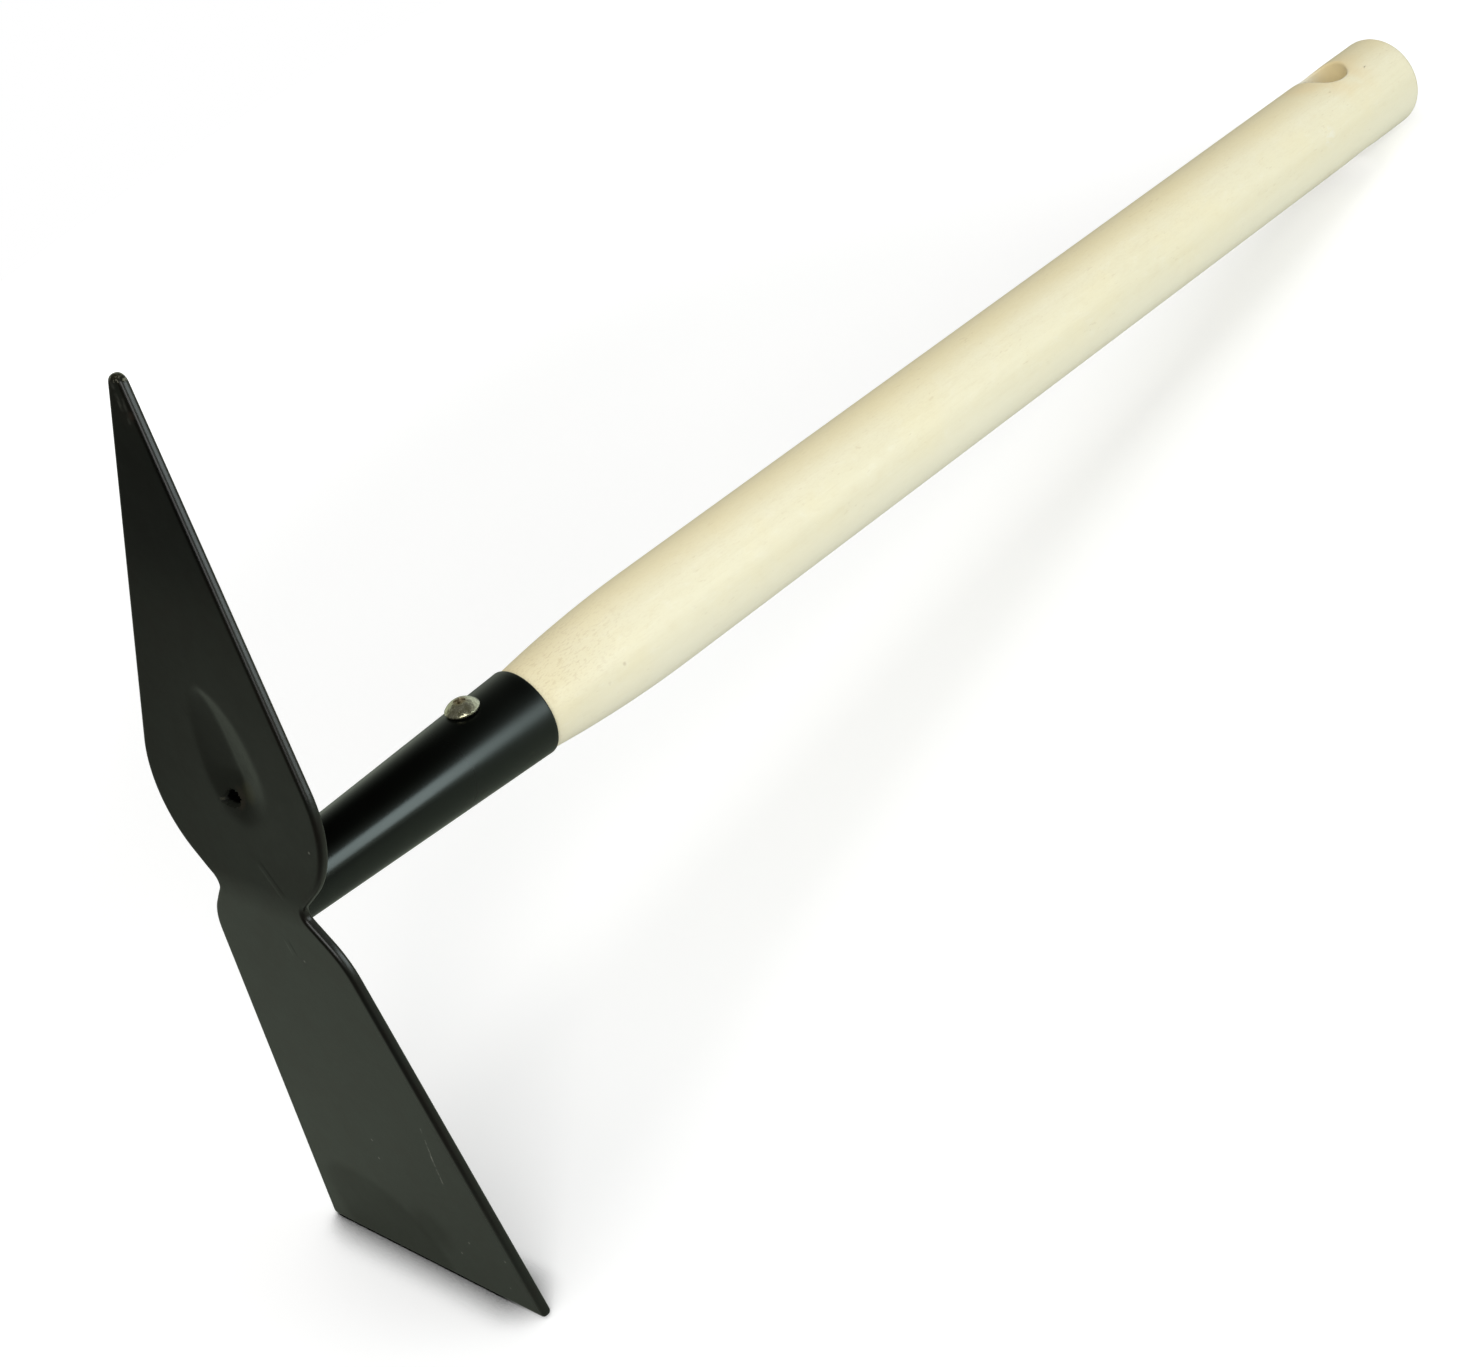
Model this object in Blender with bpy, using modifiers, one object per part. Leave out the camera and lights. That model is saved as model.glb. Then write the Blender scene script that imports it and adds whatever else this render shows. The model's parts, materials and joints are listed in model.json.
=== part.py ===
"""Short double-headed hand hoe, at real size in metres, standing at rest.

One pressed steel plate carries a pointed leaf above its waist and a flared square blade below
it. A conical steel socket is welded to the back of the waist, and a turned wooden handle is
held in the socket by one domed screw. At rest the tool stands on the edge of the square blade
and on the butt of the handle.

Every piece is modelled in the tool's own frame and then turned to the rest pose by one empty.
In the tool's own frame +X runs along the handle from the front of the plate to the butt, +Z
points to the leaf, and Y runs across the plate. The plate sits a little off the handle's
middle, and its leaf slants a little to one side.
"""

import math

import bmesh
import bpy
from mathutils import Matrix, Vector

# Sizes shared by several pieces
CLEARANCE = 0.0003
TURNED_STEPS = 40
SMALL_TURNED_STEPS = 24
ARC_STEP = math.radians(9.0)
MERGE = 0.00001

# Steel plate: the outline is measured up and down from the waist, and half across
PLATE_THICKNESS = 0.0028
PLATE_EDGE_ROUND = 0.0011
PLATE_SIDE_SHIFT = -0.00075
WAIST_HEIGHT = 0.0028
NOTCH_RADIUS = 0.0032
LEAF_LENGTH = 0.1371
LEAF_LEAN = math.radians(6.25)
LEAF_SLANT = math.radians(0.9)
LEAF_TIP_RADIUS = 0.0030
BELLY_HEIGHT = 0.0286
BELLY_RADIUS = 0.0287
BELLY_HALF_WIDTH = 0.0335
BELLY_SLOPE = math.radians(48.0)
BLADE_LENGTH = 0.1280
BLADE_LEAN = math.radians(4.3)
BLADE_FLARE = math.radians(8.65)
BLADE_EDGE_HALF_WIDTH = 0.0438
BLADE_CORNER_RADIUS = 0.0015
SHOULDER_RADIUS = 0.0223
SHOULDER_DEPTH = 0.0185
SHOULDER_SLOPE = math.radians(39.0)
BEND_LENGTH = 0.010
BEND_ROWS = 6

# Gusset pressed into the lower leaf: it widens and deepens down from its top. The reaches of
# its left side, its right side and its deepest line are measured from a line down its top.
GUSSET_TOP = 0.0575
GUSSET_WIDEST = 0.036
GUSSET_DEEPEST = 0.036
GUSSET_BOTTOM = 0.0205
GUSSET_LINE = -0.0006
GUSSET_SLANT = 0.12
GUSSET_LEFT = 0.0078
GUSSET_VALLEY = -0.0041
GUSSET_RIGHT = -0.0150
GUSSET_DEPTH = 0.0020
GUSSET_ROWS = 14
GUSSET_COLUMNS = 13

# Socket
SOCKET_END = 0.0918
SOCKET_FOOT_RADIUS = 0.0094
SOCKET_MOUTH_RADIUS = 0.0127
SOCKET_WALL = 0.0012
SOCKET_MOUTH_ROUND = 0.0005

# Weld bead round the foot of the socket
WELD_LEG = 0.0032
WELD_BULGE = 0.0005

# Handle
HANDLE_END = 0.4955
HANDLE_IN_SOCKET = 0.068
NECK_RADIUS = 0.0121
NECK_LIP = 0.0012
SWELL_LENGTH = 0.050
GRIP_RADIUS = 0.0150
BUTT_RADIUS = 0.0152
BUTT_ROUND = 0.003
SWELL_POINTS = 8

# Hanging hole through the handle
HOLE_TO_BUTT = 0.0286
HOLE_RADIUS = 0.0080
HOLE_RIM_ROUND = 0.0012
HOLE_RIM_ANGLE = math.radians(60.0)
HOLE_TURN = math.radians(-8.0)
HOLE_STEPS = 32

# Screw through the socket into the handle
SCREW_TO_MOUTH = 0.0178
SCREW_HEAD_RADIUS = 0.00475
SCREW_HEAD_HEIGHT = 0.003
SCREW_HEAD_RIM = 0.0006
SCREW_SHANK_RADIUS = 0.0020
SCREW_LENGTH = 0.018
SCREW_POINT_LENGTH = 0.004
RECESS_SPAN = 0.0046
RECESS_SLOT = 0.0009
RECESS_DEPTH = 0.0016
RECESS_TAPER = 0.45

# Finish: colour, roughness, metallic
BLACK_LACQUER = ((0.040, 0.045, 0.038), 0.42, 0.0)
BLACK_GLOSS = ((0.012, 0.014, 0.013), 0.30, 0.0)
BLACK_WELD = ((0.025, 0.027, 0.025), 0.50, 0.0)
PALE_WOOD = ((0.80, 0.72, 0.52), 0.62, 0.0)
BRIGHT_STEEL = ((0.62, 0.60, 0.55), 0.28, 1.0)


def clear_scene():
    """Removes every object that the file opened with."""
    for item in list(bpy.data.objects):
        bpy.data.objects.remove(item, do_unlink=True)


def new_collection(name):
    """Makes a collection under the scene's own."""
    group = bpy.data.collections.new(name)
    bpy.context.scene.collection.children.link(group)
    return group


def new_material(name, finish):
    """Makes a material with one shader of the given colour, roughness and metallic value."""
    colour, roughness, metallic = finish
    material = bpy.data.materials.new(name)
    material.use_nodes = True
    shader = material.node_tree.nodes["Principled BSDF"]
    shader.inputs["Base Color"].default_value = (*colour, 1.0)
    shader.inputs["Roughness"].default_value = roughness
    shader.inputs["Metallic"].default_value = metallic
    material.diffuse_color = (*colour, 1.0)
    return material


def add_object(name, mesh, group, parent, turn=None, place=(0.0, 0.0, 0.0)):
    """Puts a mesh in the scene under the tool's frame."""
    item = bpy.data.objects.new(name, mesh)
    group.objects.link(item)
    item.parent = parent
    item.location = place
    if turn is not None:
        item.rotation_euler = turn
    return item


def as_cutter(item):
    """Marks an object that only shapes others."""
    item.hide_render = True
    item.display_type = "WIRE"
    return item


def cut(item, cutter, operation="DIFFERENCE"):
    """Cuts or joins a piece with another one."""
    step = item.modifiers.new(cutter.name, "BOOLEAN")
    step.operation = operation
    step.solver = "EXACT"
    step.object = cutter


def smooth(mesh, angle=math.radians(35.0)):
    """Shades a round piece smooth and keeps its corners sharp."""
    mesh.shade_smooth()
    mesh.set_sharp_from_angle(angle=angle)


def arc(centre, radius, start, end):
    """Points along an arc in a plane, from one angle to the other."""
    count = max(2, math.ceil(abs(end - start) / ARC_STEP))
    points = []
    for index in range(count + 1):
        angle = start + (end - start) * index / count
        points.append((centre[0] + radius * math.cos(angle), centre[1] + radius * math.sin(angle)))
    return points


def turned(name, profile, group, parent, closed=False, steps=TURNED_STEPS, **placing):
    """A turned solid round its own Z, from (radius, height) points that run down its outside."""
    mesh = bpy.data.meshes.new(name)
    shape = bmesh.new()
    corners = [shape.verts.new((radius, 0.0, height)) for radius, height in profile]
    ends = corners[1:] + (corners[:1] if closed else [])
    for first, second in zip(corners, ends):
        shape.edges.new((first, second))
    shape.to_mesh(mesh)
    shape.free()
    item = add_object(name, mesh, group, parent, **placing)
    screw = item.modifiers.new("turn", "SCREW")
    screw.axis = "Z"
    screw.steps = steps
    screw.render_steps = steps
    screw.use_merge_vertices = True
    screw.merge_threshold = MERGE
    screw.use_smooth_shade = True
    return item


def fillet_centre(first, first_angle, second, second_angle, radius):
    """The centre of the fillet between two tangent lines.

    Each line touches a circle, given as (centre, radius), at an angle round that circle.
    """
    first_out = Vector((math.cos(first_angle), math.sin(first_angle)))
    second_out = Vector((math.cos(second_angle), math.sin(second_angle)))
    first_reach = first_out.dot(first[0]) + first[1] + radius
    second_reach = second_out.dot(second[0]) + second[1] + radius
    spread = first_out.cross(second_out)
    across = (first_reach * second_out.y - second_reach * first_out.y) / spread
    up = (second_reach * first_out.x - first_reach * second_out.x) / spread
    return Vector((across, up))


def plate_outline():
    """Half of the plate's outline as (across, up) points, from the tip down to the blade's edge."""
    tip = Vector((0.0, LEAF_LENGTH - LEAF_TIP_RADIUS))
    belly = Vector((BELLY_HALF_WIDTH - BELLY_RADIUS, BELLY_HEIGHT))
    between = tip - belly
    slope = math.atan2(between.x, between.y)
    edge_angle = math.asin((BELLY_RADIUS - LEAF_TIP_RADIUS) / between.length) - slope

    tangent_across = BLADE_EDGE_HALF_WIDTH - (BLADE_LENGTH - SHOULDER_DEPTH) * math.tan(BLADE_FLARE)
    inward = Vector((-math.cos(BLADE_FLARE), -math.sin(BLADE_FLARE)))
    shoulder = Vector((tangent_across, -SHOULDER_DEPTH)) + inward * SHOULDER_RADIUS
    notch = fillet_centre(
        (belly, BELLY_RADIUS),
        -BELLY_SLOPE,
        (shoulder, SHOULDER_RADIUS),
        SHOULDER_SLOPE,
        NOTCH_RADIUS,
    )

    corner_turn = math.pi / 2.0 + BLADE_FLARE
    corner_in = BLADE_CORNER_RADIUS / math.tan((math.pi - corner_turn) / 2.0)
    corner = (BLADE_EDGE_HALF_WIDTH - corner_in, -BLADE_LENGTH + BLADE_CORNER_RADIUS)

    points = arc(tip, LEAF_TIP_RADIUS, math.pi / 2.0, edge_angle)
    points += arc(belly, BELLY_RADIUS, edge_angle, -BELLY_SLOPE)
    points += arc(notch, NOTCH_RADIUS, math.pi - BELLY_SLOPE, math.pi + SHOULDER_SLOPE)
    points += arc(shoulder, SHOULDER_RADIUS, SHOULDER_SLOPE, BLADE_FLARE)
    points += arc(corner, BLADE_CORNER_RADIUS, BLADE_FLARE, -math.pi / 2.0)
    return points


def gusset_depth(across, up):
    """How far the gusset is pressed into the plate at a point of the leaf."""
    if not GUSSET_BOTTOM < up < GUSSET_TOP:
        return 0.0
    far_end = GUSSET_TOP if up > GUSSET_WIDEST else GUSSET_BOTTOM
    width = math.sqrt(1.0 - ((up - GUSSET_WIDEST) / (far_end - GUSSET_WIDEST)) ** 2)
    far_end = GUSSET_TOP if up > GUSSET_DEEPEST else GUSSET_BOTTOM
    run = (far_end - up) / (far_end - GUSSET_DEEPEST)
    size = run**0.6 if up > GUSSET_DEEPEST else run * run * (3.0 - 2.0 * run)
    line = GUSSET_LINE + GUSSET_SLANT * (up - GUSSET_WIDEST)
    side = (across - line) / width - GUSSET_VALLEY
    reach = (GUSSET_LEFT if side > 0.0 else GUSSET_RIGHT) - GUSSET_VALLEY
    left_over = 1.0 - min(side / reach, 1.0)
    rounded = (left_over + left_over**2 * (3.0 - 2.0 * left_over)) / 2.0
    return GUSSET_DEPTH * size * (left_over if side > 0.0 else rounded)


def off_middle(up):
    """How far the plate's own middle line lies to one side of the handle's axis."""
    return PLATE_SIDE_SHIFT + math.tan(LEAF_SLANT) * max(up, 0.0)


def bent(across, up, depth):
    """Where a point of the flat plate goes once the plate is bent at its waist.

    up runs along the front face from the waist, and depth runs from the front face to the back.
    """
    bend_radius = BEND_LENGTH / (LEAF_LEAN + BLADE_LEAN)
    centre = (LEAF_LEAN - BLADE_LEAN) / 2.0
    lean = min(max(centre + up / bend_radius, -BLADE_LEAN), LEAF_LEAN)
    straight = up - (lean - centre) * bend_radius
    front_x = bend_radius * (1.0 - math.cos(lean)) + straight * math.sin(lean)
    front_z = bend_radius * (math.sin(lean) - math.sin(centre)) + straight * math.cos(lean)
    x = front_x + depth * math.cos(lean)
    z = WAIST_HEIGHT + front_z - depth * math.sin(lean)
    return Vector((x, across, z))


def flat_sheet(name, outline, thickness, edge_round):
    """A flat sheet mesh from a closed outline, with rounded edges, across X, up Y, thick along Z."""
    curve = bpy.data.curves.new(name, "CURVE")
    curve.dimensions = "2D"
    curve.fill_mode = "BOTH"
    curve.extrude = thickness / 2.0 - edge_round
    curve.bevel_depth = edge_round
    curve.bevel_resolution = 1
    curve.offset = -edge_round
    spline = curve.splines.new("POLY")
    spline.points.add(len(outline) - 1)
    for point, (across, up) in zip(spline.points, outline):
        point.co = (across, up, 0.0, 1.0)
    spline.use_cyclic_u = True
    guide = bpy.data.objects.new(name, curve)
    bpy.context.scene.collection.objects.link(guide)
    solid = guide.evaluated_get(bpy.context.evaluated_depsgraph_get())
    mesh = bpy.data.meshes.new_from_object(solid)
    bpy.data.objects.remove(guide, do_unlink=True)
    bpy.data.curves.remove(curve)
    return mesh


def split_sheet(shape, normal, places):
    """Splits a sheet's faces along straight lines at the given places."""
    for place in places:
        everything = shape.verts[:] + shape.edges[:] + shape.faces[:]
        line = Vector(normal) * place
        bmesh.ops.bisect_plane(
            shape, geom=everything, dist=MERGE, plane_co=line, plane_no=normal
        )


def even_places(start, end, count):
    """Places spaced evenly from start to end, both included."""
    return [start + (end - start) * index / count for index in range(count + 1)]


def bend_sheet(mesh, middle_depth, with_gusset):
    """Bends a flat sheet at its waist, and presses the gusset into it where that is wanted."""
    shape = bmesh.new()
    shape.from_mesh(mesh)
    bmesh.ops.remove_doubles(shape, verts=shape.verts, dist=MERGE)
    bmesh.ops.dissolve_limit(
        shape, angle_limit=math.radians(1.0), verts=shape.verts, edges=shape.edges
    )
    split_sheet(shape, (0, 1, 0), even_places(-BEND_LENGTH / 2.0, BEND_LENGTH / 2.0, BEND_ROWS))
    if with_gusset:
        split_sheet(shape, (0, 1, 0), even_places(GUSSET_BOTTOM, GUSSET_TOP, GUSSET_ROWS))
        left = GUSSET_LINE + GUSSET_LEFT
        right = GUSSET_LINE + GUSSET_RIGHT
        split_sheet(shape, (1, 0, 0), even_places(right, left, GUSSET_COLUMNS))
    for vertex in shape.verts:
        across, up, level = vertex.co
        pressed = gusset_depth(across, up) if with_gusset else 0.0
        vertex.co = bent(across + off_middle(up), up, middle_depth + level + pressed)
    shape.to_mesh(mesh)
    shape.free()


def build_plate(parts, frame):
    """The pressed plate: leaf, waist and square blade, with the gusset in the lower leaf."""
    half = plate_outline()
    outline = half + [(-across, up) for across, up in reversed(half) if across > MERGE]
    mesh = flat_sheet("blade_plate", outline, PLATE_THICKNESS, PLATE_EDGE_ROUND)
    bend_sheet(mesh, PLATE_THICKNESS / 2.0, True)
    smooth(mesh)
    plate = add_object("blade_plate", mesh, parts, frame)
    plate.data.materials.append(new_material("black_lacquer", BLACK_LACQUER))
    return plate


def socket_outside(x):
    """The socket's outer radius at a place along the handle."""
    share = (x - PLATE_THICKNESS) / (SOCKET_END - PLATE_THICKNESS)
    return SOCKET_FOOT_RADIUS + (SOCKET_MOUTH_RADIUS - SOCKET_FOOT_RADIUS) * share


def build_plate_room(cutters, frame):
    """The plate with a clearance, as a plain wide slab that trims what is welded to its back."""
    side = 2.0 * SOCKET_MOUTH_RADIUS
    ends = [(side, side), (side, -side), (-side, -side), (-side, side)]
    slab = 4.0 * PLATE_THICKNESS
    mesh = flat_sheet("plate_room", ends, slab, 0.0)
    bend_sheet(mesh, PLATE_THICKNESS + CLEARANCE - slab / 2.0, False)
    return as_cutter(add_object("plate_room", mesh, cutters, frame))


def build_socket(parts, cutters, frame, plate_room, screw_room):
    """The conical socket, trimmed to the plate's back, with its screw hole."""
    mouth_out = (SOCKET_MOUTH_RADIUS - SOCKET_MOUTH_ROUND, SOCKET_END - SOCKET_MOUTH_ROUND)
    profile = [(SOCKET_MOUTH_RADIUS - SOCKET_WALL, SOCKET_END)]
    profile += arc(mouth_out, SOCKET_MOUTH_ROUND, math.pi / 2.0, 0.0)
    profile.append((socket_outside(0.0), 0.0))
    profile.append((socket_outside(0.0) - SOCKET_WALL, 0.0))
    socket = turned(
        "socket", profile, parts, frame, closed=True, turn=(0.0, math.pi / 2.0, 0.0)
    )
    cut(socket, plate_room)
    cut(socket, screw_room)
    socket.data.materials.append(new_material("black_gloss", BLACK_GLOSS))
    return socket


def build_weld(parts, frame, plate_room):
    """The weld bead in the corner between the socket and the back of the plate."""
    toe = PLATE_THICKNESS + WELD_LEG
    inner_toe = socket_outside(toe) + CLEARANCE
    inner_foot = socket_outside(0.0) + CLEARANCE
    outer = inner_foot + WELD_LEG + WELD_BULGE
    lip = WELD_BULGE
    middle = ((inner_toe + lip + outer) / 2.0 + WELD_BULGE, toe - WELD_LEG / 2.0 + WELD_BULGE)
    profile = [
        (inner_toe, toe),
        (inner_toe + lip, toe),
        middle,
        (outer, PLATE_THICKNESS + WELD_BULGE),
        (outer, 0.0),
        (inner_foot, 0.0),
    ]
    weld = turned(
        "weld_bead", profile, parts, frame, closed=True, turn=(0.0, math.pi / 2.0, 0.0)
    )
    cut(weld, plate_room)
    weld.data.materials.append(new_material("black_weld", BLACK_WELD))
    return weld


def handle_profile():
    """The handle's turned outline from the butt down to its end in the socket."""
    inside = SOCKET_WALL + CLEARANCE
    hidden_end = SOCKET_END - HANDLE_IN_SOCKET
    swell_end = SOCKET_END + SWELL_LENGTH
    corner = (BUTT_RADIUS - BUTT_ROUND, HANDLE_END - BUTT_ROUND)
    profile = [(0.0, HANDLE_END)]
    profile += arc(corner, BUTT_ROUND, math.pi / 2.0, 0.0)
    for index in range(SWELL_POINTS + 1):
        share = 1.0 - index / SWELL_POINTS
        radius = GRIP_RADIUS - (GRIP_RADIUS - NECK_RADIUS) * (1.0 - share) ** 2
        start = SOCKET_END + NECK_LIP
        profile.append((radius, start + (swell_end - start) * share))
    profile.append((SOCKET_MOUTH_RADIUS - inside, SOCKET_END))
    profile.append((socket_outside(hidden_end) - inside, hidden_end))
    profile.append((0.0, hidden_end))
    return profile


def build_hole_cutter(cutters, frame):
    """The hanging hole with rounded rims, as a turned cutter across the handle."""
    start = BUTT_RADIUS - HOLE_RIM_ROUND
    centre = (HOLE_RADIUS + HOLE_RIM_ROUND, start)
    rim = arc(centre, HOLE_RIM_ROUND, math.pi - HOLE_RIM_ANGLE, math.pi)
    outer_radius = rim[0][0] + HOLE_RIM_ROUND * math.tan(HOLE_RIM_ANGLE)
    outer_height = rim[0][1] + HOLE_RIM_ROUND
    upper = [(0.0, outer_height), (outer_radius, outer_height)] + rim
    lower = [(radius, -height) for radius, height in reversed(upper)]
    return as_cutter(
        turned(
            "hanging_hole",
            upper + lower,
            cutters,
            frame,
            steps=HOLE_STEPS,
            turn=(HOLE_TURN, 0.0, 0.0),
            place=(HANDLE_END - HOLE_TO_BUTT, 0.0, 0.0),
        )
    )


def screw_seat():
    """The screw's place on the socket and its tilt, square to the socket's slope."""
    x = SOCKET_END - SCREW_TO_MOUTH
    slope = math.atan2(
        SOCKET_MOUTH_RADIUS - SOCKET_FOOT_RADIUS, SOCKET_END - PLATE_THICKNESS
    )
    return {"turn": (0.0, -slope, 0.0), "place": (x, 0.0, socket_outside(x) + CLEARANCE)}


def build_screw_room(cutters, frame):
    """The hole that the screw's shank passes through, in the socket and in the wood."""
    reach = SCREW_SHANK_RADIUS + CLEARANCE
    profile = [
        (0.0, SCREW_HEAD_HEIGHT),
        (reach, SCREW_HEAD_HEIGHT),
        (reach, -SCREW_LENGTH + SCREW_POINT_LENGTH),
        (0.0, -SCREW_LENGTH - CLEARANCE),
    ]
    seat = screw_seat()
    return as_cutter(
        turned("screw_room", profile, cutters, frame, steps=SMALL_TURNED_STEPS, **seat)
    )


def build_handle(parts, frame, hole, screw_room):
    """The turned wooden handle with its hanging hole and the screw's pilot hole."""
    handle = turned(
        "handle", handle_profile(), parts, frame, turn=(0.0, math.pi / 2.0, 0.0)
    )
    cut(handle, hole)
    cut(handle, screw_room)
    handle.data.materials.append(new_material("pale_wood", PALE_WOOD))
    return handle


def build_recess_wing(name, turn, cutters, frame):
    """One wing of the cross recess, narrower at its foot."""
    mesh = bpy.data.meshes.new(name)
    shape = bmesh.new()
    bmesh.ops.create_cube(shape, size=1.0)
    depth = 2.0 * RECESS_DEPTH
    bmesh.ops.scale(shape, vec=(RECESS_SPAN, RECESS_SLOT, depth), verts=shape.verts)
    for vertex in shape.verts:
        if vertex.co.z < 0.0:
            vertex.co.x *= RECESS_TAPER
    bmesh.ops.rotate(shape, matrix=Matrix.Rotation(turn, 3, "Z"), verts=shape.verts)
    bmesh.ops.translate(shape, vec=(0.0, 0.0, SCREW_HEAD_HEIGHT), verts=shape.verts)
    shape.to_mesh(mesh)
    shape.free()
    return as_cutter(add_object(name, mesh, cutters, frame, **screw_seat()))


def build_screw(parts, cutters, frame):
    """The domed screw: a round head with a cross recess, on a pointed shank."""
    crown = SCREW_HEAD_HEIGHT - SCREW_HEAD_RIM
    dome = (SCREW_HEAD_RADIUS**2 + crown**2) / (2.0 * crown)
    open_angle = math.asin(SCREW_HEAD_RADIUS / dome)
    centre = (0.0, SCREW_HEAD_HEIGHT - dome)
    profile = arc(centre, dome, math.pi / 2.0, math.pi / 2.0 - open_angle)
    profile[0] = (0.0, SCREW_HEAD_HEIGHT)
    profile.append((SCREW_HEAD_RADIUS, 0.0))
    profile.append((SCREW_SHANK_RADIUS, 0.0))
    profile.append((SCREW_SHANK_RADIUS, -SCREW_LENGTH + SCREW_POINT_LENGTH))
    profile.append((0.0, -SCREW_LENGTH))
    screw = turned("fixing_screw", profile, parts, frame, steps=SMALL_TURNED_STEPS, **screw_seat())
    for name, turn in (("recess_long", 0.0), ("recess_cross", math.pi / 2.0)):
        cut(screw, build_recess_wing(name, turn + math.pi / 4.0, cutters, frame))
    screw.data.materials.append(new_material("bright_steel", BRIGHT_STEEL))
    return screw


def rest_turn():
    """The turn about Y that brings the blade's edge and the handle's butt to one level."""
    heel_up = -BLADE_LENGTH + PLATE_EDGE_ROUND
    heel = bent(0.0, heel_up, PLATE_THICKNESS - PLATE_EDGE_ROUND)
    butt = Vector((HANDLE_END - BUTT_ROUND, 0.0, -BUTT_RADIUS + BUTT_ROUND))
    line = butt - heel
    rise = math.atan2(line.z, line.x)
    return rise - math.asin((BUTT_ROUND - PLATE_EDGE_ROUND) / line.length)


def stand_on_floor(frame, pieces):
    """Turns the tool to its rest pose and sets the middle of its footprint on the origin."""
    frame.rotation_euler = (0.0, rest_turn(), 0.0)
    bpy.context.view_layer.update()
    graph = bpy.context.evaluated_depsgraph_get()
    corners = []
    for piece in pieces:
        solid = piece.evaluated_get(graph)
        mesh = solid.to_mesh()
        corners += [solid.matrix_world @ vertex.co for vertex in mesh.vertices]
        solid.to_mesh_clear()
    low = [min(corner[axis] for corner in corners) for axis in range(3)]
    high = [max(corner[axis] for corner in corners) for axis in range(3)]
    frame.location = (-(low[0] + high[0]) / 2.0, -(low[1] + high[1]) / 2.0, -low[2])
    bpy.context.view_layer.update()


def build_hoe():
    """Builds the whole tool in its rest pose."""
    clear_scene()
    parts = new_collection("hand_hoe")
    cutters = new_collection("cutters")
    frame = bpy.data.objects.new("tool_frame", None)
    parts.objects.link(frame)

    plate_room = build_plate_room(cutters, frame)
    screw_room = build_screw_room(cutters, frame)
    hole = build_hole_cutter(cutters, frame)
    pieces = [
        build_plate(parts, frame),
        build_socket(parts, cutters, frame, plate_room, screw_room),
        build_weld(parts, frame, plate_room),
        build_handle(parts, frame, hole, screw_room),
        build_screw(parts, cutters, frame),
    ]
    stand_on_floor(frame, pieces)


build_hoe()
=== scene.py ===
import json
import math

import bmesh
import bpy
from mathutils import Euler, Matrix, Vector, noise


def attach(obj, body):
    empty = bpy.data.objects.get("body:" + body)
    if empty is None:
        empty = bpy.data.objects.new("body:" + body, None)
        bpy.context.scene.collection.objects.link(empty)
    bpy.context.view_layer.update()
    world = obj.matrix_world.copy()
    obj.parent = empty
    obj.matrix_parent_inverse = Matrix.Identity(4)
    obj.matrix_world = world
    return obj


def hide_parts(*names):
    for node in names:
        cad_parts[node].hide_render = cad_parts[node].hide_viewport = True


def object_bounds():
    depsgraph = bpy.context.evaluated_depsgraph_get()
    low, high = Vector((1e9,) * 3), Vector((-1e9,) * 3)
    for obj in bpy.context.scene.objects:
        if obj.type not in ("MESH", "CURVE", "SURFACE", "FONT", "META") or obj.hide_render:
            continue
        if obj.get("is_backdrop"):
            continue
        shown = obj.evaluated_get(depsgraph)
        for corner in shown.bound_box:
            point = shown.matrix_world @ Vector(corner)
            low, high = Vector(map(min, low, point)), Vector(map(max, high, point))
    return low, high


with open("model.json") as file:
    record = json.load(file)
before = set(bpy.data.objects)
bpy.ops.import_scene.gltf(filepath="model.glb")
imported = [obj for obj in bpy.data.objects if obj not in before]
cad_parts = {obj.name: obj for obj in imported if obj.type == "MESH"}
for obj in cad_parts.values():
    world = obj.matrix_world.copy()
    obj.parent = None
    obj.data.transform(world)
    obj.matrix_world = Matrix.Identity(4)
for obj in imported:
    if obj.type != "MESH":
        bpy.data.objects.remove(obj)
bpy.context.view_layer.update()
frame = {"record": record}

MM = 1000.0

# Camera: a long lens above and to the right of the blade's front, rolled so that the handle
# runs up to the right. It is placed in the tool's own frame, which has X along the handle from
# the front of the plate to the butt, Z towards the leaf and Y across.
TOOL_AXIS = Vector(frame["record"]["mounts"][1]["axis"])
TOOL_LENGTH = 0.4955
CAMERA_PLACE = Vector((-0.306361, -0.584424, 0.393986))
CAMERA_RIGHT = Vector((0.66558, -0.70684, -0.23954))
CAMERA_UP = Vector((0.51316, 0.20038, 0.83457))
CAMERA_BACK = Vector((-0.54192, -0.67840, 0.49609))
CAMERA_LENS = 76.49

tool_slope = math.atan2(-TOOL_AXIS.z, TOOL_AXIS.x)
tool_origin = Vector(frame["record"]["mounts"][1]["pos_m"]) - TOOL_AXIS * TOOL_LENGTH
tool_turn = Euler((0.0, tool_slope, 0.0))
tool_frame = Matrix.LocRotScale(tool_origin, tool_turn, None)
camera = bpy.data.objects.new("camera", bpy.data.cameras.new("camera"))
bpy.context.scene.collection.objects.link(camera)
camera.data.lens = CAMERA_LENS
camera.data.sensor_width = 36.0
camera.data.clip_start = 0.05
camera.data.clip_end = 20.0
turn = Matrix((CAMERA_RIGHT, CAMERA_UP, CAMERA_BACK)).transposed()
camera.matrix_world = tool_frame @ Matrix.LocRotScale(CAMERA_PLACE, turn, None)
bpy.context.scene.camera = camera

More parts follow.
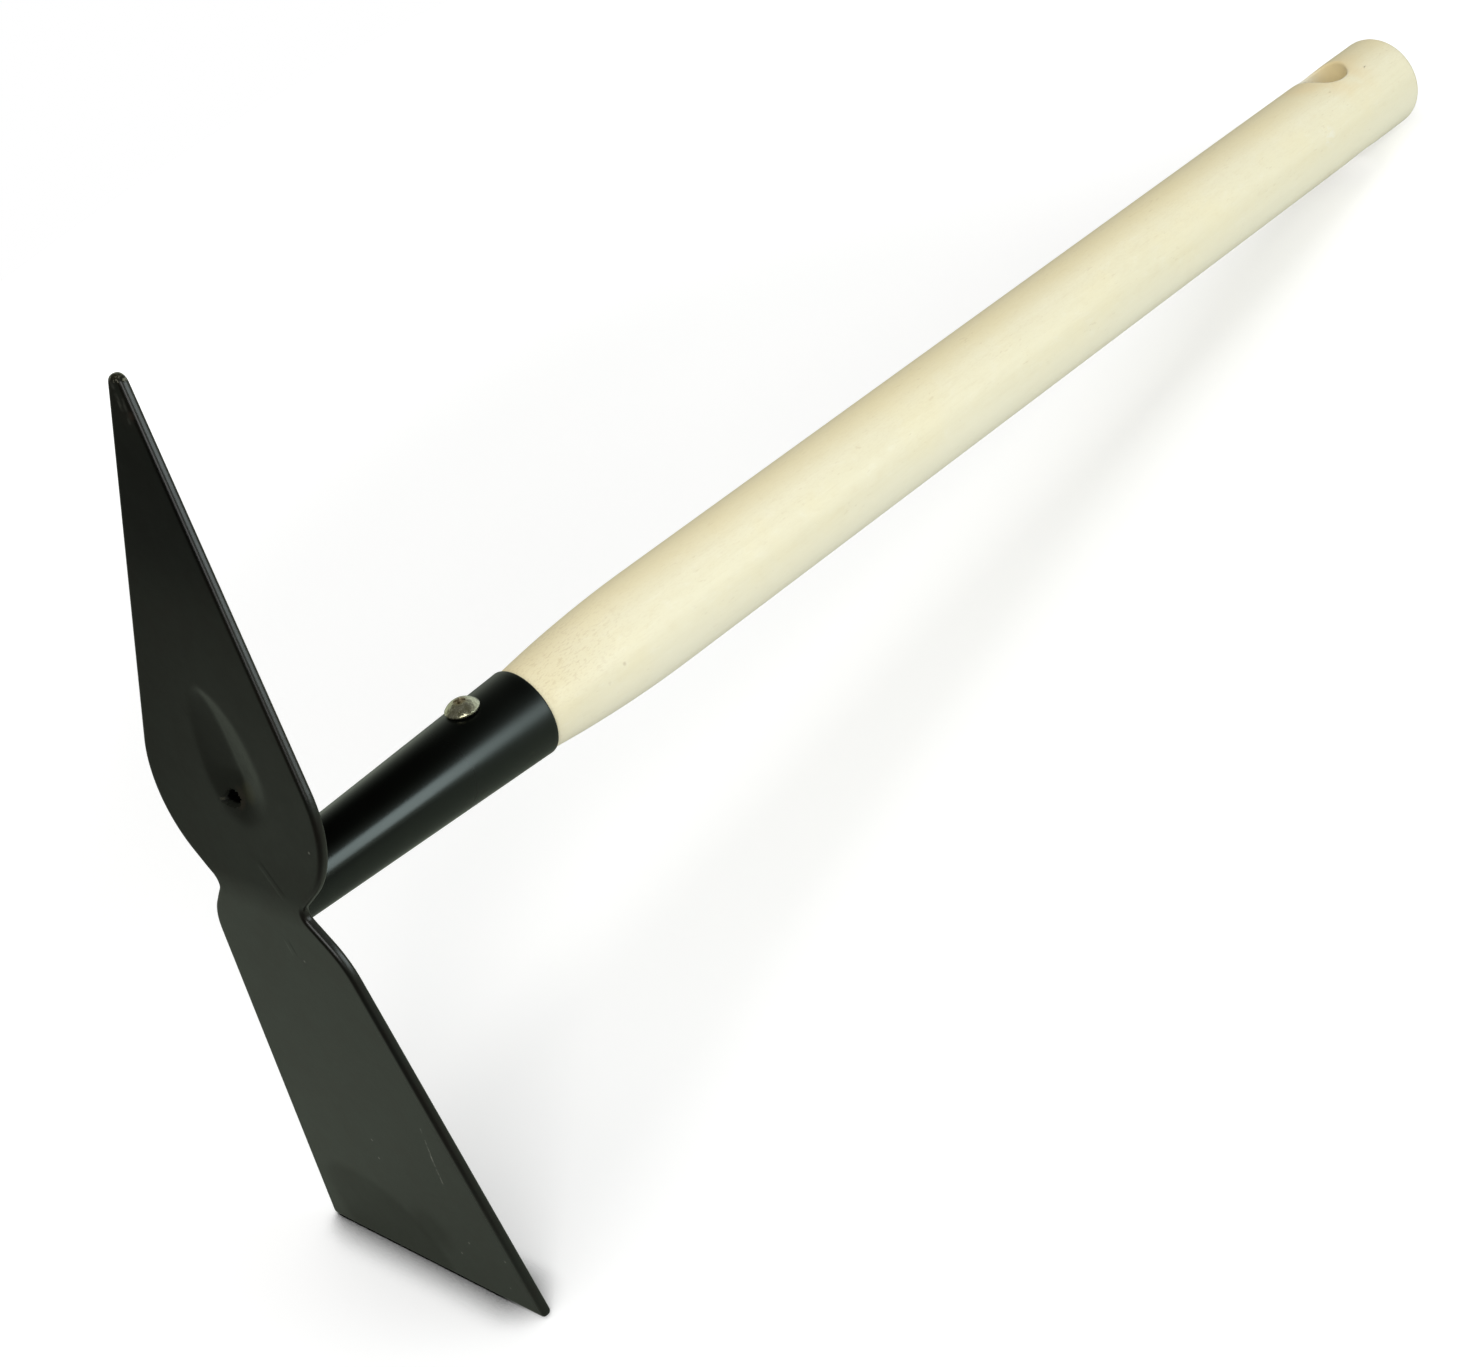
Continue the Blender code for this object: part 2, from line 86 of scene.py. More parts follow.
# Plate: one 2.8 mm steel sheet, cut to a pointed leaf above the waist and a flared square blade
# below it, bent a little at the waist, with a gusset pressed into the lower leaf. It is dipped
# in black lacquer, which is worn off at the tip and inside the torn end of the gusset, where the
# bare steel is painted near black as shade. Painted sheen, shade, a glint and reflections lie in
# the lacquer's colour too.
PLATE_THICKNESS = 0.0028
PLATE_EDGE_ROUND = 0.0011
PLATE_EDGE_BAND = 0.0005
PLATE_SIDE_SHIFT = -0.00075
WAIST_HEIGHT = 0.0028
NOTCH_RADIUS = 0.0032
LEAF_LENGTH = 0.1371
LEAF_LEAN = math.radians(6.25)
LEAF_SLANT = math.radians(0.9)
LEAF_TIP_RADIUS = 0.0030
BELLY_HEIGHT = 0.0286
BELLY_RADIUS = 0.0287
BELLY_HALF_WIDTH = 0.0335
BELLY_SLOPE = math.radians(48.0)
BLADE_LENGTH = 0.1280
BLADE_LEAN = math.radians(4.3)
BLADE_FLARE = math.radians(8.65)
BLADE_EDGE_HALF_WIDTH = 0.0438
BLADE_CORNER_RADIUS = 0.0015
SHOULDER_RADIUS = 0.0223
SHOULDER_DEPTH = 0.0185
SHOULDER_SLOPE = math.radians(39.0)
BEND_LENGTH = 0.010
GUSSET_TOP = 0.0575
GUSSET_WIDEST = 0.036
GUSSET_DEEPEST = 0.036
GUSSET_BOTTOM = 0.0205
GUSSET_LINE = -0.0006
GUSSET_SLANT = 0.12
GUSSET_LEFT = 0.0078
GUSSET_VALLEY = -0.0041
GUSSET_RIGHT = -0.0150
GUSSET_DEPTH = 0.0020
GUSSET_SOFTNESS = 0.0011
GUSSET_SOFT_POINTS = 6
GUSSET_CELL = 0.0005
GUSSET_MARGINS = (0.0030, 0.0018, 0.0010, 0.0005)
TEAR_ACROSS = 0.0006
TEAR_UP = 0.0276
TEAR_TILT = math.radians(-18.0)
TEAR_HALF_WIDTH = 0.0040
TEAR_HALF_HEIGHT = 0.0021
TEAR_TAPER = 0.6
TEAR_RAGGED = 0.15
TEAR_RAGGED_SCALE = 900.0
BURR_REACH = 0.0024
BURR_CLOSING = 0.6
BURR_RAGGED = 0.5
BURR_RAGGED_SCALE = 500.0


def pen_down(name, place):
    """Starts a piece as one point, drawn on from there by lines and swings."""
    bpy.ops.object.select_all(action="DESELECT")
    bpy.ops.mesh.primitive_plane_add(size=0.001)
    piece = bpy.context.object
    piece.name = name
    piece.data.name = name
    bpy.ops.object.mode_set(mode="EDIT")
    bpy.ops.mesh.select_mode(type="VERT")
    bpy.ops.mesh.select_all(action="SELECT")
    bpy.ops.mesh.merge(type="CENTER")
    bpy.ops.transform.translate(value=place)
    return piece


def line_to(place):
    """Draws a straight line from the last point to a place."""
    shape = bmesh.from_edit_mesh(bpy.context.object.data)
    last = next(vertex.co.copy() for vertex in shape.verts if vertex.select)
    step = Vector(place) - last
    bpy.ops.mesh.extrude_region_move(TRANSFORM_OT_translate={"value": step})


def swing(centre, angle, steps):
    """Draws an arc round a centre on the flat, from the last point."""
    bpy.ops.mesh.spin(steps=steps, angle=-angle, center=(*centre, 0.0), axis=(0.0, 0.0, 1.0))


def on_circle(centre, radius, angle):
    """A point of a circle on the flat."""
    across = centre[0] + radius * math.cos(angle)
    up = centre[1] + radius * math.sin(angle)
    return Vector((across, up, 0.0))


def pick(test, kind="faces"):
    """Selects the faces or edges of the piece in hand that pass a test."""
    bpy.ops.mesh.select_all(action="DESELECT")
    modes = {"edges": "EDGE", "faces": "FACE"}
    bpy.ops.mesh.select_mode(type=modes[kind])
    mesh = bpy.context.object.data
    shape = bmesh.from_edit_mesh(mesh)
    for part in getattr(shape, kind):
        if test(part):
            part.select_set(True)
    shape.select_flush_mode()
    bmesh.update_edit_mesh(mesh)


def slice_flat(normal, places):
    """Cuts the piece in hand along parallel planes."""
    for place in places:
        bpy.ops.mesh.select_all(action="SELECT")
        bpy.ops.mesh.bisect(
            plane_co=Vector(normal) * place, plane_no=normal, threshold=0.000002
        )


def even_places(start, end, count):
    """Places spaced evenly from start to end, both included."""
    return [start + (end - start) * index / count for index in range(count + 1)]


def fillet_centre(first, first_angle, second, second_angle, radius):
    """The centre of the fillet between two lines, each touching a circle at an angle."""
    first_out = Vector((math.cos(first_angle), math.sin(first_angle)))
    second_out = Vector((math.cos(second_angle), math.sin(second_angle)))
    first_reach = first_out.dot(first[0]) + first[1] + radius
    second_reach = second_out.dot(second[0]) + second[1] + radius
    spread = first_out.cross(second_out)
    across = (first_reach * second_out.y - second_reach * first_out.y) / spread
    up = (second_reach * first_out.x - first_reach * second_out.x) / spread
    return Vector((across, up))


def eased(share):
    """A share from 0 to 1 that starts and ends gently."""
    return share * share * (3.0 - 2.0 * share)


def gusset_depth(across, up):
    """How far the gusset is pressed into the plate at a point of the leaf."""
    if not GUSSET_BOTTOM < up < GUSSET_TOP:
        return 0.0
    far_end = GUSSET_TOP if up > GUSSET_WIDEST else GUSSET_BOTTOM
    width = math.sqrt(1.0 - ((up - GUSSET_WIDEST) / (far_end - GUSSET_WIDEST)) ** 2)
    far_end = GUSSET_TOP if up > GUSSET_DEEPEST else GUSSET_BOTTOM
    run = (far_end - up) / (far_end - GUSSET_DEEPEST)
    size = run**0.6 if up > GUSSET_DEEPEST else eased(run)
    line = GUSSET_LINE + GUSSET_SLANT * (up - GUSSET_WIDEST)
    side = (across - line) / width - GUSSET_VALLEY
    reach = (GUSSET_LEFT if side > 0.0 else GUSSET_RIGHT) - GUSSET_VALLEY
    left_over = 1.0 - min(side / reach, 1.0)
    rounded = (left_over + eased(left_over)) / 2.0
    return GUSSET_DEPTH * size * (left_over if side > 0.0 else rounded)


def soft_gusset(across, up):
    """The gusset's depth with its rim and its deepest line rounded over."""
    total = gusset_depth(across, up)
    for turns in range(2 * GUSSET_SOFT_POINTS):
        angle = math.tau * turns / GUSSET_SOFT_POINTS
        away = GUSSET_SOFTNESS * (0.5 if turns < GUSSET_SOFT_POINTS else 1.0)
        total += gusset_depth(across + away * math.cos(angle), up + away * math.sin(angle))
    return total / (2 * GUSSET_SOFT_POINTS + 1)


def tear_reach(across, up):
    """How far a point lies from the middle of the tear, as a share of the way to its lip."""
    side = across - TEAR_ACROSS
    rise = up - TEAR_UP
    along_tear = side * math.cos(TEAR_TILT) + rise * math.sin(TEAR_TILT)
    over_tear = rise * math.cos(TEAR_TILT) - side * math.sin(TEAR_TILT)
    run = along_tear / TEAR_HALF_WIDTH
    half_height = TEAR_HALF_HEIGHT * (1.0 - TEAR_TAPER * min(max(run, -1.0), 1.0))
    return math.hypot(run, over_tear / half_height)


def torn(across, up, depth):
    """Where a point of the sheet goes as the tear's metal is drawn back into a burr."""
    through = depth / PLATE_THICKNESS
    near = eased(min(max(2.0 - tear_reach(across, up), 0.0), 1.0))
    closing = 1.0 - BURR_CLOSING * near * through
    ragged = 1.0 + BURR_RAGGED * noise.noise(Vector((across, up, 0.0)) * BURR_RAGGED_SCALE)
    across = TEAR_ACROSS + (across - TEAR_ACROSS) * closing
    up = TEAR_UP + (up - TEAR_UP) * closing
    return across, up, depth + BURR_REACH * ragged * near**2 * through


def bent(across, up, depth):
    """Where a point of the flat plate goes once the plate is bent at its waist."""
    bend_radius = BEND_LENGTH / (LEAF_LEAN + BLADE_LEAN)
    centre = (LEAF_LEAN - BLADE_LEAN) / 2.0
    lean = min(max(centre + up / bend_radius, -BLADE_LEAN), LEAF_LEAN)
    straight = up - (lean - centre) * bend_radius
    front_x = bend_radius * (1.0 - math.cos(lean)) + straight * math.sin(lean)
    front_z = bend_radius * (math.sin(lean) - math.sin(centre)) + straight * math.cos(lean)
    x = front_x + depth * math.cos(lean)
    z = WAIST_HEIGHT + front_z - depth * math.sin(lean)
    shift = PLATE_SIDE_SHIFT + math.tan(LEAF_SLANT) * max(up, 0.0)
    return Vector((x, across + shift, z))


def finish_mesh(angle=35.0):
    """Closes edit mode, shades the piece smooth by angle and puts it in the tool's place."""
    bpy.ops.object.mode_set(mode="OBJECT")
    bpy.ops.object.shade_smooth_by_angle(angle=math.radians(angle))
    bpy.context.object.data.transform(tool_frame)


tip = Vector((0.0, LEAF_LENGTH - LEAF_TIP_RADIUS))
belly = Vector((BELLY_HALF_WIDTH - BELLY_RADIUS, BELLY_HEIGHT))
between = tip - belly
edge_angle = math.asin((BELLY_RADIUS - LEAF_TIP_RADIUS) / between.length)
edge_angle -= math.atan2(between.x, between.y)
shoulder_across = BLADE_EDGE_HALF_WIDTH - (BLADE_LENGTH - SHOULDER_DEPTH) * math.tan(BLADE_FLARE)
shoulder = Vector((
    shoulder_across - SHOULDER_RADIUS * math.cos(BLADE_FLARE),
    -SHOULDER_DEPTH - SHOULDER_RADIUS * math.sin(BLADE_FLARE),
))
notch = fillet_centre(
    (belly, BELLY_RADIUS), -BELLY_SLOPE, (shoulder, SHOULDER_RADIUS), SHOULDER_SLOPE, NOTCH_RADIUS
)
corner_in = BLADE_CORNER_RADIUS / math.tan((math.pi / 2.0 - BLADE_FLARE) / 2.0)
corner = Vector((BLADE_EDGE_HALF_WIDTH - corner_in, -BLADE_LENGTH + BLADE_CORNER_RADIUS))

plate = pen_down("hoe_plate", (0.0, LEAF_LENGTH, 0.0))
swing(tip, edge_angle - math.pi / 2.0, 10)
line_to(on_circle(belly, BELLY_RADIUS, edge_angle))
swing(belly, -BELLY_SLOPE - edge_angle, 28)
line_to(on_circle(notch, NOTCH_RADIUS, math.pi - BELLY_SLOPE))
swing(notch, BELLY_SLOPE + SHOULDER_SLOPE, 12)
line_to(on_circle(shoulder, SHOULDER_RADIUS, SHOULDER_SLOPE))
swing(shoulder, BLADE_FLARE - SHOULDER_SLOPE, 12)
line_to(on_circle(corner, BLADE_CORNER_RADIUS, BLADE_FLARE))
swing(corner, -math.pi / 2.0 - BLADE_FLARE, 10)
line_to((0.0, -BLADE_LENGTH, 0.0))
bpy.ops.mesh.select_all(action="SELECT")
bpy.ops.mesh.symmetrize(direction="POSITIVE_X", threshold=0.00001)
bpy.ops.mesh.select_all(action="SELECT")
bpy.ops.mesh.remove_doubles(threshold=0.00001)
bpy.ops.mesh.edge_face_add()
bpy.ops.mesh.extrude_region_move(TRANSFORM_OT_translate={"value": (0.0, 0.0, PLATE_THICKNESS)})
bpy.ops.mesh.select_all(action="SELECT")
bpy.ops.mesh.normals_make_consistent(inside=False)
pick(lambda edge: abs(edge.verts[0].co.z - edge.verts[1].co.z) < 0.0001, "edges")
bpy.ops.mesh.bevel(offset=PLATE_EDGE_ROUND, segments=6, affect="EDGES")
pick(lambda face: abs(face.normal.z) > 0.999)
bpy.ops.mesh.inset(thickness=PLATE_EDGE_BAND)
slice_flat((0, 1, 0), even_places(-BEND_LENGTH / 2.0, BEND_LENGTH / 2.0, 10))
rows = even_places(GUSSET_BOTTOM, GUSSET_TOP, round((GUSSET_TOP - GUSSET_BOTTOM) / GUSSET_CELL))
columns = even_places(
    GUSSET_LINE + GUSSET_RIGHT,
    GUSSET_LINE + GUSSET_LEFT,
    round((GUSSET_LEFT - GUSSET_RIGHT) / GUSSET_CELL),
)
for places, normal in ((rows, (0, 1, 0)), (columns, (1, 0, 0))):
    low = [places[0] - margin for margin in GUSSET_MARGINS]
    high = [places[-1] + margin for margin in reversed(GUSSET_MARGINS)]
    slice_flat(normal, low + places + high)


def in_tear(face):
    """Whether a face of the flat sheet lies in the torn end of the gusset."""
    middle = face.calc_center_median()
    ragged = TEAR_RAGGED * noise.noise(Vector((middle.x, middle.y, 0.0)) * TEAR_RAGGED_SCALE)
    return abs(face.normal.z) > 0.9 and tear_reach(middle.x, middle.y) < 1.0 + ragged


pick(in_tear)
bpy.ops.mesh.delete(type="FACE")
pick(lambda edge: edge.is_boundary, "edges")
bpy.ops.mesh.bridge_edge_loops(number_cuts=5)
bpy.ops.object.mode_set(mode="OBJECT")
for vertex in plate.data.vertices:
    across, up, depth = torn(*vertex.co)
    vertex.co = bent(across, up, depth + soft_gusset(across, up))
bpy.ops.object.mode_set(mode="EDIT")
finish_mesh()


class Tone:
    """One output of a material's nodes. A sum on it adds the Math nodes that work it out."""

    def __init__(self, tree, socket=None):
        self.tree = tree
        self.socket = socket

    def node(self, kind, settings=None, inputs=None, output=0):
        """Adds a node with its settings and inputs, and gives one of its outputs."""
        made = self.tree.nodes.new("ShaderNode" + kind)
        for name, value in (settings or {}).items():
            setattr(made, name, value)
        for name, value in (inputs or {}).items():
            if isinstance(value, Tone):
                self.tree.links.new(value.socket, made.inputs[name])
            else:
                made.inputs[name].default_value = value
        return Tone(self.tree, made.outputs[output] if made.outputs else None)

    def other(self, output):
        """Another output of the same node."""
        return Tone(self.tree, self.socket.node.outputs[output])

    def maths(self, operation, first, second=0.0, clamp=False):
        """One Math node."""
        settings = {"operation": operation, "use_clamp": clamp}
        return self.node("Math", settings, {0: first, 1: second})

    def __add__(self, other):
        return self.maths("ADD", self, other)

    def __radd__(self, other):
        return self.maths("ADD", other, self)

    def __sub__(self, other):
        return self.maths("SUBTRACT", self, other)

    def __rsub__(self, other):
        return self.maths("SUBTRACT", other, self)

    def __mul__(self, other):
        return self.maths("MULTIPLY", self, other)

    def __rmul__(self, other):
        return self.maths("MULTIPLY", other, self)

    def __truediv__(self, other):
        return self.maths("DIVIDE", self, other)

    def clamp(self):
        """The value held between 0 and 1."""
        return self.maths("ADD", self, 0.0, clamp=True)

    def step(self, start, end):
        """Rises smoothly from 0 at one value to 1 at another, which may be the lower one."""
        low, high, flip = (start, end, False) if start < end else (end, start, True)
        settings = {"interpolation_type": "SMOOTHSTEP"}
        inputs = {"Value": self, "From Min": low, "From Max": high}
        rise = self.node("MapRange", settings, inputs)
        return 1.0 - rise if flip else rise

    def mix(self, factor, first, second):
        """Mixes two colours."""
        settings = {"data_type": "RGBA"}
        inputs = {"Factor": factor, 6: first, 7: second}
        return self.node("Mix", settings, inputs, 2)

    def grain(self, vector, scale, detail=2.0, roughness=0.5, distortion=0.0):
        """Noise over a pattern's own coordinates, between 0 and 1."""
        inputs = {
            "Vector": vector,
            "Scale": scale,
            "Detail": detail,
            "Roughness": roughness,
            "Distortion": distortion,
        }
        return self.node("TexNoise", None, inputs)

    def parts(self, vector):
        """The three numbers of a vector."""
        first = self.node("SeparateXYZ", None, {0: vector})
        return first, first.other(1), first.other(2)

    def spot(self, vector, centre, radius, soft=0.5):
        """A soft round spot about a point of the pattern's coordinates."""
        inputs = {0: vector, 1: centre}
        away = self.node("VectorMath", {"operation": "DISTANCE"}, inputs, 1)
        return away.step(radius, radius * soft)


def rgb(red, green, blue):
    """A colour as a shader takes it."""
    return (red, green, blue, 1.0)


def new_finish(name):
    """A material, the tone that adds nodes to it and the tool's coordinates in mm."""
    material = bpy.data.materials.new(name)
    material.use_nodes = True
    material.node_tree.nodes.clear()
    tone = Tone(material.node_tree)
    place = tone.node("TexCoord", None, None, "Object")
    settings = {"vector_type": "TEXTURE"}
    inputs = {
        "Vector": place,
        "Location": tool_origin,
        "Rotation": tool_turn,
        "Scale": (0.001, 0.001, 0.001),
    }
    return material, tone, tone.node("Mapping", settings, inputs)


def end_finish(tone, inputs):
    """Ends a material with one shader on the given inputs."""
    shader = tone.node("BsdfPrincipled", None, inputs)
    tone.node("OutputMaterial", None, {"Surface": shader})


def dress(piece, material, slot, *nodes):
    """Gives a finished piece its material and body, and hides the CAD nodes it stands for. slot:
    not used.
    """
    piece.data.materials.clear()
    piece.data.materials.append(material)
    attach(piece, "root")
    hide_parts(*nodes)


LEAF_FACE_SLOPE = 0.1095
LEAF_FACE_START = -0.53
BLADE_FACE_SLOPE = -0.0752
BLADE_FACE_START = -0.05


def on_front(across, up):
    """A point of the plate's flat front in mm, from its place across and up the tool."""
    leaf_face = LEAF_FACE_SLOPE * up + LEAF_FACE_START
    blade_face = BLADE_FACE_SLOPE * up + BLADE_FACE_START
    return Vector((max(leaf_face, blade_face), across, up))


def stroke(across, up, start, end, width):
    """A thin straight mark between two places across and up the plate, in mm."""
    length = math.dist(start, end)
    turn_y = (end[0] - start[0]) / length
    turn_z = (end[1] - start[1]) / length
    run = (across - start[0]) * turn_y + (up - start[1]) * turn_z
    aside = (up - start[1]) * turn_y - (across - start[0]) * turn_z
    ends = run.step(-width, 1.5 * width) * run.step(length + width, length - 1.5 * width)
    return (aside * aside).step(width * width, 0.0) * ends


SPECKS = (
    (-34.0, -118.0, 0.35),
    (-28.5, 23.4, 0.48),
    (2.2, -86.6, 0.48),
    (1.2, -79.6, 0.48),
    (-17.5, -112.7, 0.48),
    (-23.7, -106.2, 0.48),
    (-37.5, -106.7, 0.48),
    (-9.0, -14.5, 0.48),
)
SCRATCHES = (
    ((-26.6, -64.0), (-25.2, -76.0), 0.30),
    ((-25.2, -74.0), (-24.7, -84.5), 0.34),
)
TIP_STREAKS = (
    ((2.2, 137.2), (0.6, 130.5), 0.9),
    ((-0.8, 134.0), (-1.0, 127.0), 0.7),
)
UPPER_DENT = ((-5.4, 14.4), (-12.6, 6.4), 1.3)
LOWER_DENT = ((-5.0, -9.0), (-5.6, -13.6), 1.4)
TEAR_PLACE = Vector((3.8, 0.4, 31.0))
GLINT_PLACE = TEAR_PLACE + Vector((-0.5, 3.4, -1.5))
SALLOW_PLACE = TEAR_PLACE + Vector((-1.0, -8.0, 3.0))
RIM_DARK = 0.9
RIM_CLEAR = 1.7
LACQUER_DEEP = rgb(0.0038, 0.0046, 0.0027)
LACQUER_THIN = rgb(0.0058, 0.0070, 0.0042)
LACQUER_BROWN = rgb(0.0085, 0.0062, 0.0040)
LACQUER_PAINTED_SHEEN = rgb(0.0150, 0.0168, 0.0125)
LACQUER_PAINTED_SHADE = rgb(0.0010, 0.0012, 0.0006)
PLATE_DUST = rgb(0.022, 0.024, 0.017)
PLATE_PAINTED_REFLECTION = rgb(0.0075, 0.0062, 0.0022)
SCRATCHED = rgb(0.20, 0.20, 0.17)
STREAKED = rgb(0.060, 0.062, 0.050)
PINKISH = rgb(0.026, 0.017, 0.012)
BOTTOM_EDGE_WEAR_AND_HIGHLIGHT = rgb(0.045, 0.045, 0.036)
WORN_TIP = rgb(0.030, 0.026, 0.012)
BARE_STEEL = rgb(0.50, 0.49, 0.38)
TORN_STEEL_PAINTED_SHADE = rgb(0.0016, 0.0013, 0.0008)
RUST = rgb(0.020, 0.016, 0.008)
SALLOW = rgb(0.050, 0.048, 0.020)
PAINTED_GLINT = rgb(0.060, 0.058, 0.040)

material, tone, place = new_finish("plate_lacquer")
along, across, up = tone.parts(place)
front = (along - (LEAF_FACE_SLOPE * up + LEAF_FACE_START)) * up.step(-0.5, 0.5)
front = front + (along - BLADE_FACE_SLOPE * up) * up.step(0.5, -0.5)
front = front.step(1.6, 0.8)
peel = tone.grain(place, 0.9, 2.0, 0.5)
dust = tone.grain(place, 4.0, 3.0, 0.7)
cloud = tone.grain(place, 0.05, 3.0, 0.6)
patch = tone.grain(place, 0.16, 2.0, 0.6)
colour = tone.mix(cloud, LACQUER_DEEP, LACQUER_THIN)
mottle = tone.grain(place, 0.11, 3.0, 0.65).step(0.35, 0.70)
colour = tone.mix(mottle * 0.7, colour, LACQUER_BROWN)
# Painted sheen: the lower leaf is painted lighter, more to its right, clear of the sheet's edges.
side = across - PLATE_SIDE_SHIFT * MM - up * math.tan(LEAF_SLANT)
side = tone.maths("ABSOLUTE", side)
rise = up - WAIST_HEIGHT * MM
edge_place = belly.x * math.cos(edge_angle) + belly.y * math.sin(edge_angle) + BELLY_RADIUS
edge_place = edge_place * MM
off_edge = side * math.cos(edge_angle) + rise * math.sin(edge_angle)
off_edge = off_edge.step(edge_place - RIM_DARK, edge_place - RIM_CLEAR) * rise.step(34.0, 36.0)
bulge_side = side - belly.x * MM
bulge_rise = rise - belly.y * MM
off_belly = bulge_side * bulge_side + bulge_rise * bulge_rise
belly_place = BELLY_RADIUS * MM
off_belly = off_belly.step((belly_place - RIM_DARK) ** 2, (belly_place - RIM_CLEAR) ** 2)
lower_leaf_painted_sheen = up.step(108.0, 48.0) * up.step(0.0, 30.0) * across.step(50.0, -18.0)
lower_leaf_painted_sheen = lower_leaf_painted_sheen * tone.maths("MAXIMUM", off_edge, off_belly)
colour = tone.mix(lower_leaf_painted_sheen, colour, LACQUER_PAINTED_SHEEN)
# Painted shade: the upper leaf, short of its tip, is painted darker.
upper_leaf_painted_shade = up.step(78.0, 100.0) * up.step(136.0, 116.0)
colour = tone.mix(upper_leaf_painted_shade * 0.85, colour, LACQUER_PAINTED_SHADE)
colour = tone.mix(dust.step(0.52, 0.80) * 0.45, colour, PLATE_DUST)
# Painted reflection: broad soft patches of the lower blade are painted darker and browner.
blade_reflection_patch = tone.spot(place, on_front(12.0, -113.0), 27.0, 0.75)
blade_reflection_patch = blade_reflection_patch * tone.spot(place, on_front(20.0, -128.0), 32.0, 0.85)
blade_reflection_spot = tone.spot(place, on_front(-8.0, -108.0), 10.0, 0.3)
painted_dark_reflection = (blade_reflection_patch * 0.55 + blade_reflection_spot * 0.5) * front
colour = tone.mix(painted_dark_reflection * 0.6, colour, PLATE_PAINTED_REFLECTION)
scratch = sum(stroke(across, up, *mark) for mark in SCRATCHES)
scratch = scratch * tone.grain(place, 0.9, 2.0, 0.6).step(0.38, 0.52) * front
specks = sum(tone.spot(place, on_front(y, z), radius, 0.4) for y, z, radius in SPECKS)
colour = tone.mix((scratch * 0.55 + specks * 0.6).clamp(), colour, SCRATCHED)
streaks = sum(stroke(across, up, *mark) for mark in TIP_STREAKS)
streaks = streaks * tone.grain(place, 0.7, 2.0, 0.6).step(0.35, 0.65) * front
colour = tone.mix(streaks.clamp() * 0.5, colour, STREAKED)
pink = tone.spot(place, on_front(-2.2, 129.6), 1.6, 0.3) * front
colour = tone.mix(pink * 0.6, colour, PINKISH)
ragged = tone.grain(place, 0.9, 3.0, 0.7)
worn = (up + ragged * 3.0).step(138.6, 140.4)
# The broken lighter line along the blade's bottom edge is worn lacquer and a painted highlight.
bottom_edge_wear_and_highlight = (up + ragged * 2.0).step(-122.9, -124.2) * ragged.step(0.45, 0.60)
bare = worn * ragged.step(0.50, 0.60)
colour = tone.mix(bottom_edge_wear_and_highlight * 0.5, colour, BOTTOM_EDGE_WEAR_AND_HIGHLIGHT)
colour = tone.mix(bare, colour, BARE_STEEL)
colour = tone.mix(worn * 0.4, colour, WORN_TIP)
# Painted shade: inside the tear the bare steel is painted near black.
tear = tone.node("VectorMath", {"operation": "SUBTRACT"}, {0: place, 1: TEAR_PLACE})
deep, tear_side, tear_rise = tone.parts(tear)
inside = (tear_side * tear_side * 0.045 + tear_rise * tear_rise * 0.13).step(1.05, 0.85)
inside = inside * deep.step(0.3, 0.9)
lip = (tear_side * tear_side * 0.030 + tear_rise * tear_rise * 0.07).step(1.3, 0.8)
rust = tear_side.step(-2.2, -4.2) * lip * ragged.step(0.30, 0.45)
colour = tone.mix(inside, colour, TORN_STEEL_PAINTED_SHADE)
colour = tone.mix(rust * 0.8, colour, RUST)
colour = tone.mix(tone.spot(place, SALLOW_PLACE, 4.2, 0.5) * 0.35, colour, SALLOW)
# Painted glint: a small pale fleck on the tear's left lip.
tear_lip_glint = tone.spot(place, GLINT_PLACE, 0.9, 0.3) * ragged.step(0.42, 0.5)
colour = tone.mix(tear_lip_glint, colour, PAINTED_GLINT)
dents = stroke(across, up, *UPPER_DENT) * 0.035 + stroke(across, up, *LOWER_DENT) * 0.06
height = peel * 0.006 + dust * 0.0012 + patch * 0.03 + dents * front + specks * 0.03
normal = tone.node("Bump", None, {"Height": height, "Strength": 1.0, "Distance": 0.001})
end_finish(tone, {
    "Base Color": colour,
    "Roughness": 0.29 + cloud * 0.05 + painted_dark_reflection * 0.10 + inside * 0.4 + rust * 0.3,
    "Metallic": (bare * 0.9 + painted_dark_reflection * 0.45 + mottle * 0.12 + inside * 0.9).clamp(),
    "Normal": normal,
})
dress(plate, material, "black_lacquer", "blade_plate")

# Socket: a conical tube rolled from thin steel, welded to the back of the waist, with a fuller
# and glossier coat of the same lacquer than the plate. Its mouth is rounded over.
SOCKET_END = 0.0918
SOCKET_FOOT_RADIUS = 0.0094
SOCKET_MOUTH_RADIUS = 0.0127
SOCKET_WALL = 0.0012
SOCKET_MOUTH_ROUND = 0.0005
SOCKET_RINGS_FROM = 0.006
SOCKET_RINGS_TO = 0.090
TURNED_STEPS = 120
GLOSS_DEEP = rgb(0.0008, 0.0009, 0.0006)
GLOSS_THIN = rgb(0.0014, 0.0016, 0.0011)
GLOSS_DUST = rgb(0.05, 0.05, 0.04)
GLOSS_TINT = rgb(0.92, 1.0, 0.97)


def socket_outside(x):
    """The socket's outer radius at a place along the handle."""
    share = (x - PLATE_THICKNESS) / (SOCKET_END - PLATE_THICKNESS)
    return SOCKET_FOOT_RADIUS + (SOCKET_MOUTH_RADIUS - SOCKET_FOOT_RADIUS) * share


def plate_back(z):
    """How far along the handle the plate's back lies at a height from the socket's middle."""
    up = z - WAIST_HEIGHT
    for _ in range(4):
        point = bent(0.0, up, PLATE_THICKNESS)
        up += z - point.z
    return point.x


